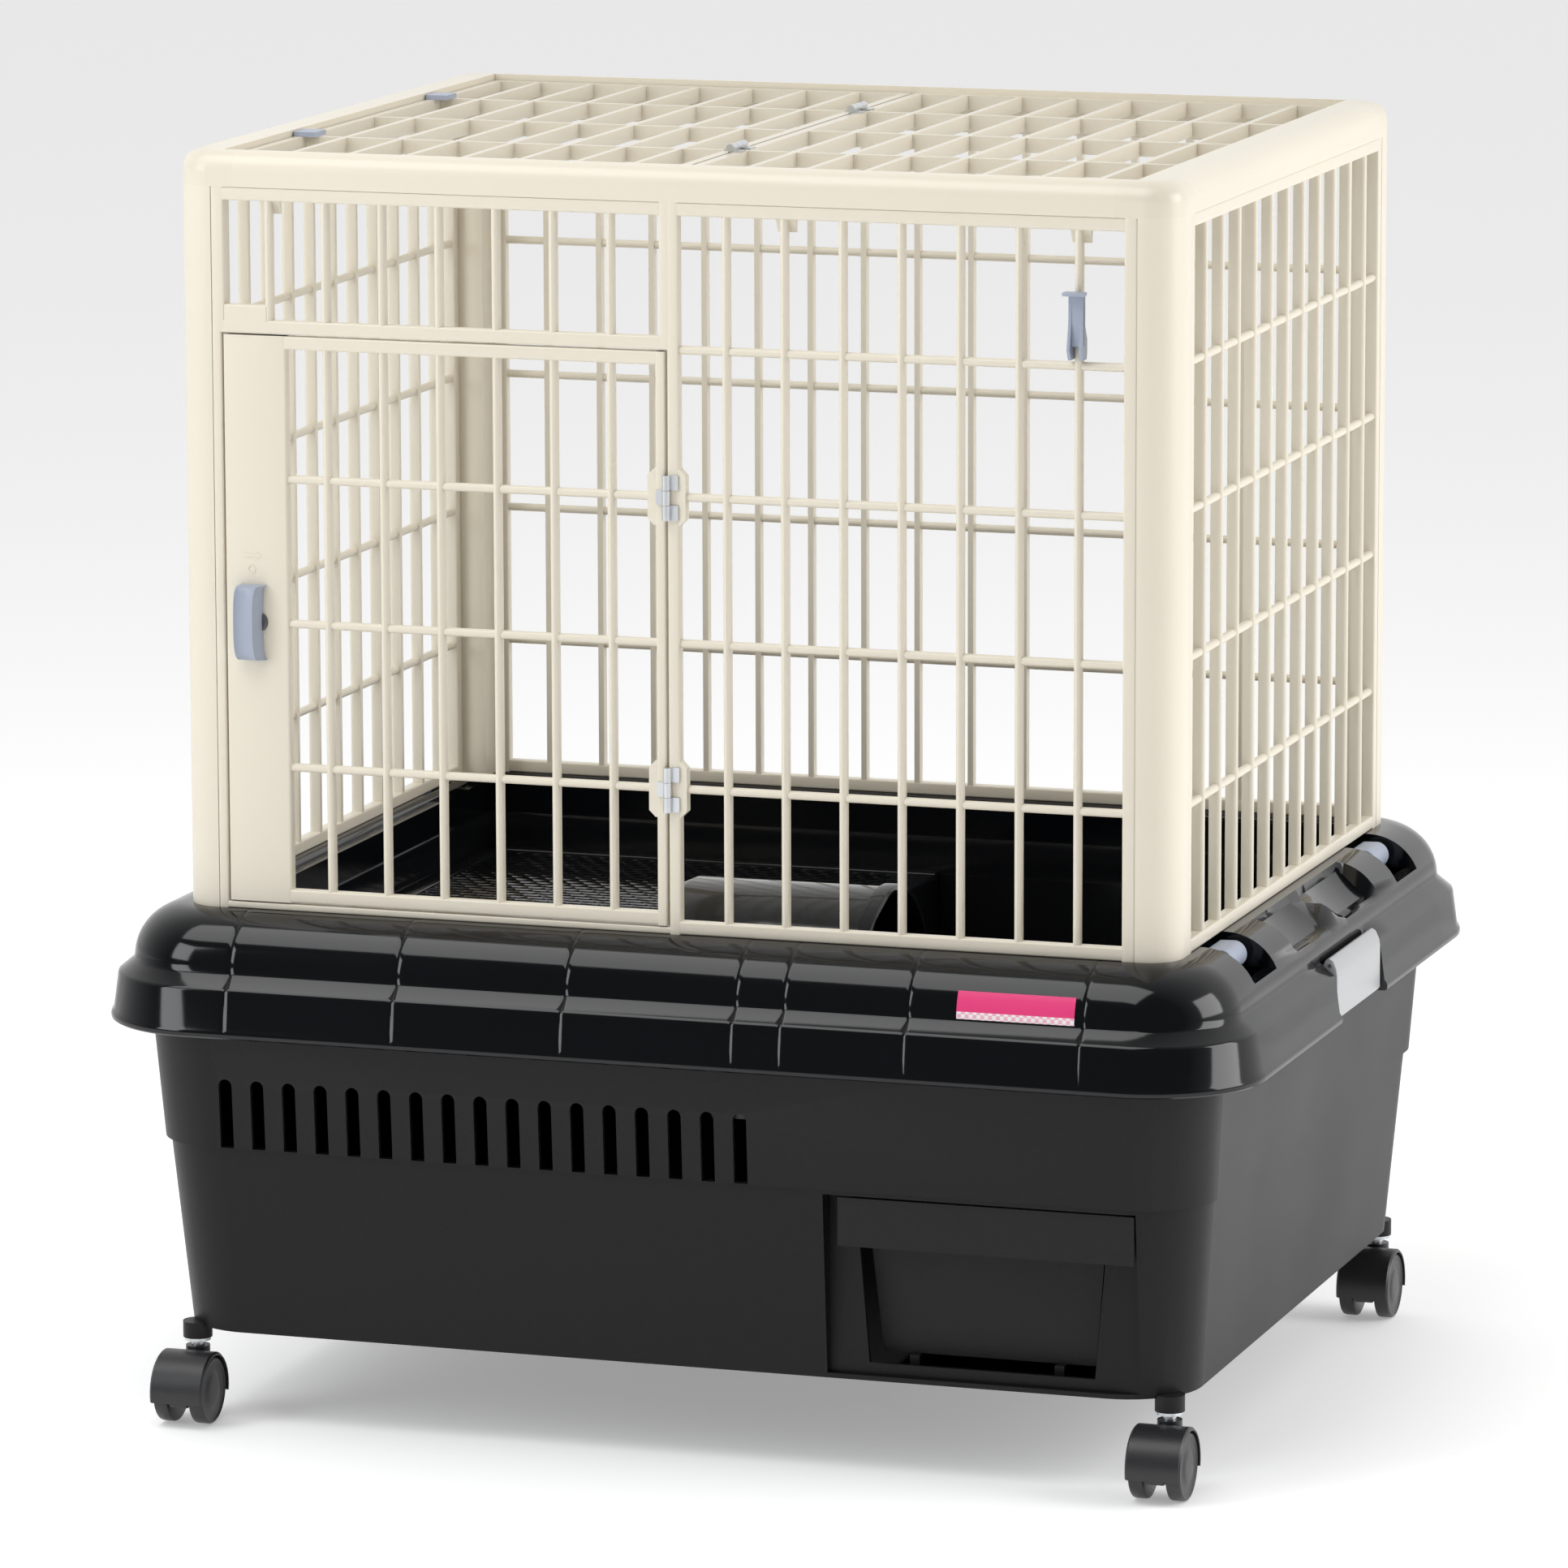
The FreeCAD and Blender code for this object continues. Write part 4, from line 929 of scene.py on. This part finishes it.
def studio():
    floor = Shape()
    outline = [(-FLOOR_REACH, -FLOOR_REACH, FLOOR_LOW), (FLOOR_REACH, -FLOOR_REACH, FLOOR_LOW),
               (FLOOR_REACH, FLOOR_REACH, FLOOR_LOW), (-FLOOR_REACH, FLOOR_REACH, FLOOR_LOW)]
    floor.prism(outline, (0, 0, FLOOR_THICK))
    mesh = bpy.data.meshes.new("studio_floor")
    mesh.from_pydata([tuple(p) for p in floor.points], [], floor.faces)
    plane = bpy.data.objects.new("studio_floor", mesh)
    bpy.context.collection.objects.link(plane)
    pale = bpy.data.materials.new("pale_floor")
    pale.use_nodes = True
    shader = pale.node_tree.nodes["Principled BSDF"]
    shader.inputs["Base Color"].default_value = (0.9, 0.9, 0.9, 1)
    shader.inputs["Roughness"].default_value = 0.9
    shader.inputs["Emission Color"].default_value = (1, 1, 1, 1)
    shader.inputs["Emission Strength"].default_value = 0.3
    mesh.materials.append(pale)

    def lamp(name, place, size, power, tint=(1, 1, 1)):
        data = bpy.data.lights.new(name, "AREA")
        data.shape = "RECTANGLE"
        data.size, data.size_y = size
        data.energy = power
        data.color = tint
        lamp_object = bpy.data.objects.new(name, data)
        lamp_object.location = place
        direction = Vector((0, 0, 0.4)) - Vector(place)
        lamp_object.rotation_euler = direction.to_track_quat("-Z", "Y").to_euler()
        bpy.context.collection.objects.link(lamp_object)

    lamp("key_top", (-0.6, -1.2, 2.6), (2.4, 1.6), 38)
    lamp("front_left", (-2.2, -2.4, 1.5), (1.2, 1.6), 30, (0.95, 0.98, 1.0))
    lamp("right_side", (2.8, 0.2, 1.3), (1.6, 1.6), 40)
    world = bpy.data.worlds.new("studio")
    world.use_nodes = True
    tree = world.node_tree
    background = tree.nodes["Background"]
    background.inputs["Color"].default_value = (1, 1, 1, 1)
    direction = node(tree, "ShaderNodeTexCoord")
    split = node(tree, "ShaderNodeSeparateXYZ")
    tree.links.new(direction.outputs["Generated"], split.inputs["Vector"])
    falloff = node(tree, "ShaderNodeMapRange")
    falloff.inputs["From Min"].default_value = -0.5
    falloff.inputs["From Max"].default_value = 0.5
    falloff.inputs["To Min"].default_value = 0.12
    falloff.inputs["To Max"].default_value = 0.95
    tree.links.new(split.outputs["Y"], falloff.inputs["Value"])
    seen = node(tree, "ShaderNodeLightPath")
    strength = node(tree, "ShaderNodeMix", data_type="FLOAT")
    strength.inputs["B"].default_value = 1.0
    tree.links.new(seen.outputs["Is Camera Ray"], strength.inputs["Factor"])
    tree.links.new(falloff.outputs["Result"], strength.inputs["A"])
    tree.links.new(strength.outputs["Result"], background.inputs["Strength"])
    bpy.context.scene.world = world
    bpy.context.scene.view_settings.view_transform = "Standard"


CAMERA_PLACE = Vector((1.731, -5.273, 1.3625))
CAMERA_TURN = 18.12
CAMERA_TILT = 10.15
CAMERA_ROLL = -0.126
CAMERA_LENS = 208.6
CAMERA_SHIFT = (-0.0156, -0.0008)


def camera():
    turn, tilt, roll = (math.radians(a) for a in (CAMERA_TURN, CAMERA_TILT, CAMERA_ROLL))
    back = Vector((math.sin(turn) * math.cos(tilt), -math.cos(turn) * math.cos(tilt), math.sin(tilt)))
    right = (-back).cross(Vector((0, 0, 1))).normalized()
    up = right.cross(-back)
    tilted_right = math.cos(roll) * right + math.sin(roll) * up
    tilted_up = -math.sin(roll) * right + math.cos(roll) * up
    data = bpy.data.cameras.new("photo_view")
    data.lens = CAMERA_LENS
    data.sensor_width = 36
    data.shift_x, data.shift_y = CAMERA_SHIFT
    data.clip_end = 50
    view = bpy.data.objects.new("photo_view", data)
    matrix = Matrix((tilted_right, tilted_up, back)).transposed().to_4x4()
    matrix.translation = CAMERA_PLACE
    view.matrix_world = matrix
    bpy.context.collection.objects.link(view)
    bpy.context.scene.camera = view


studio()
camera()
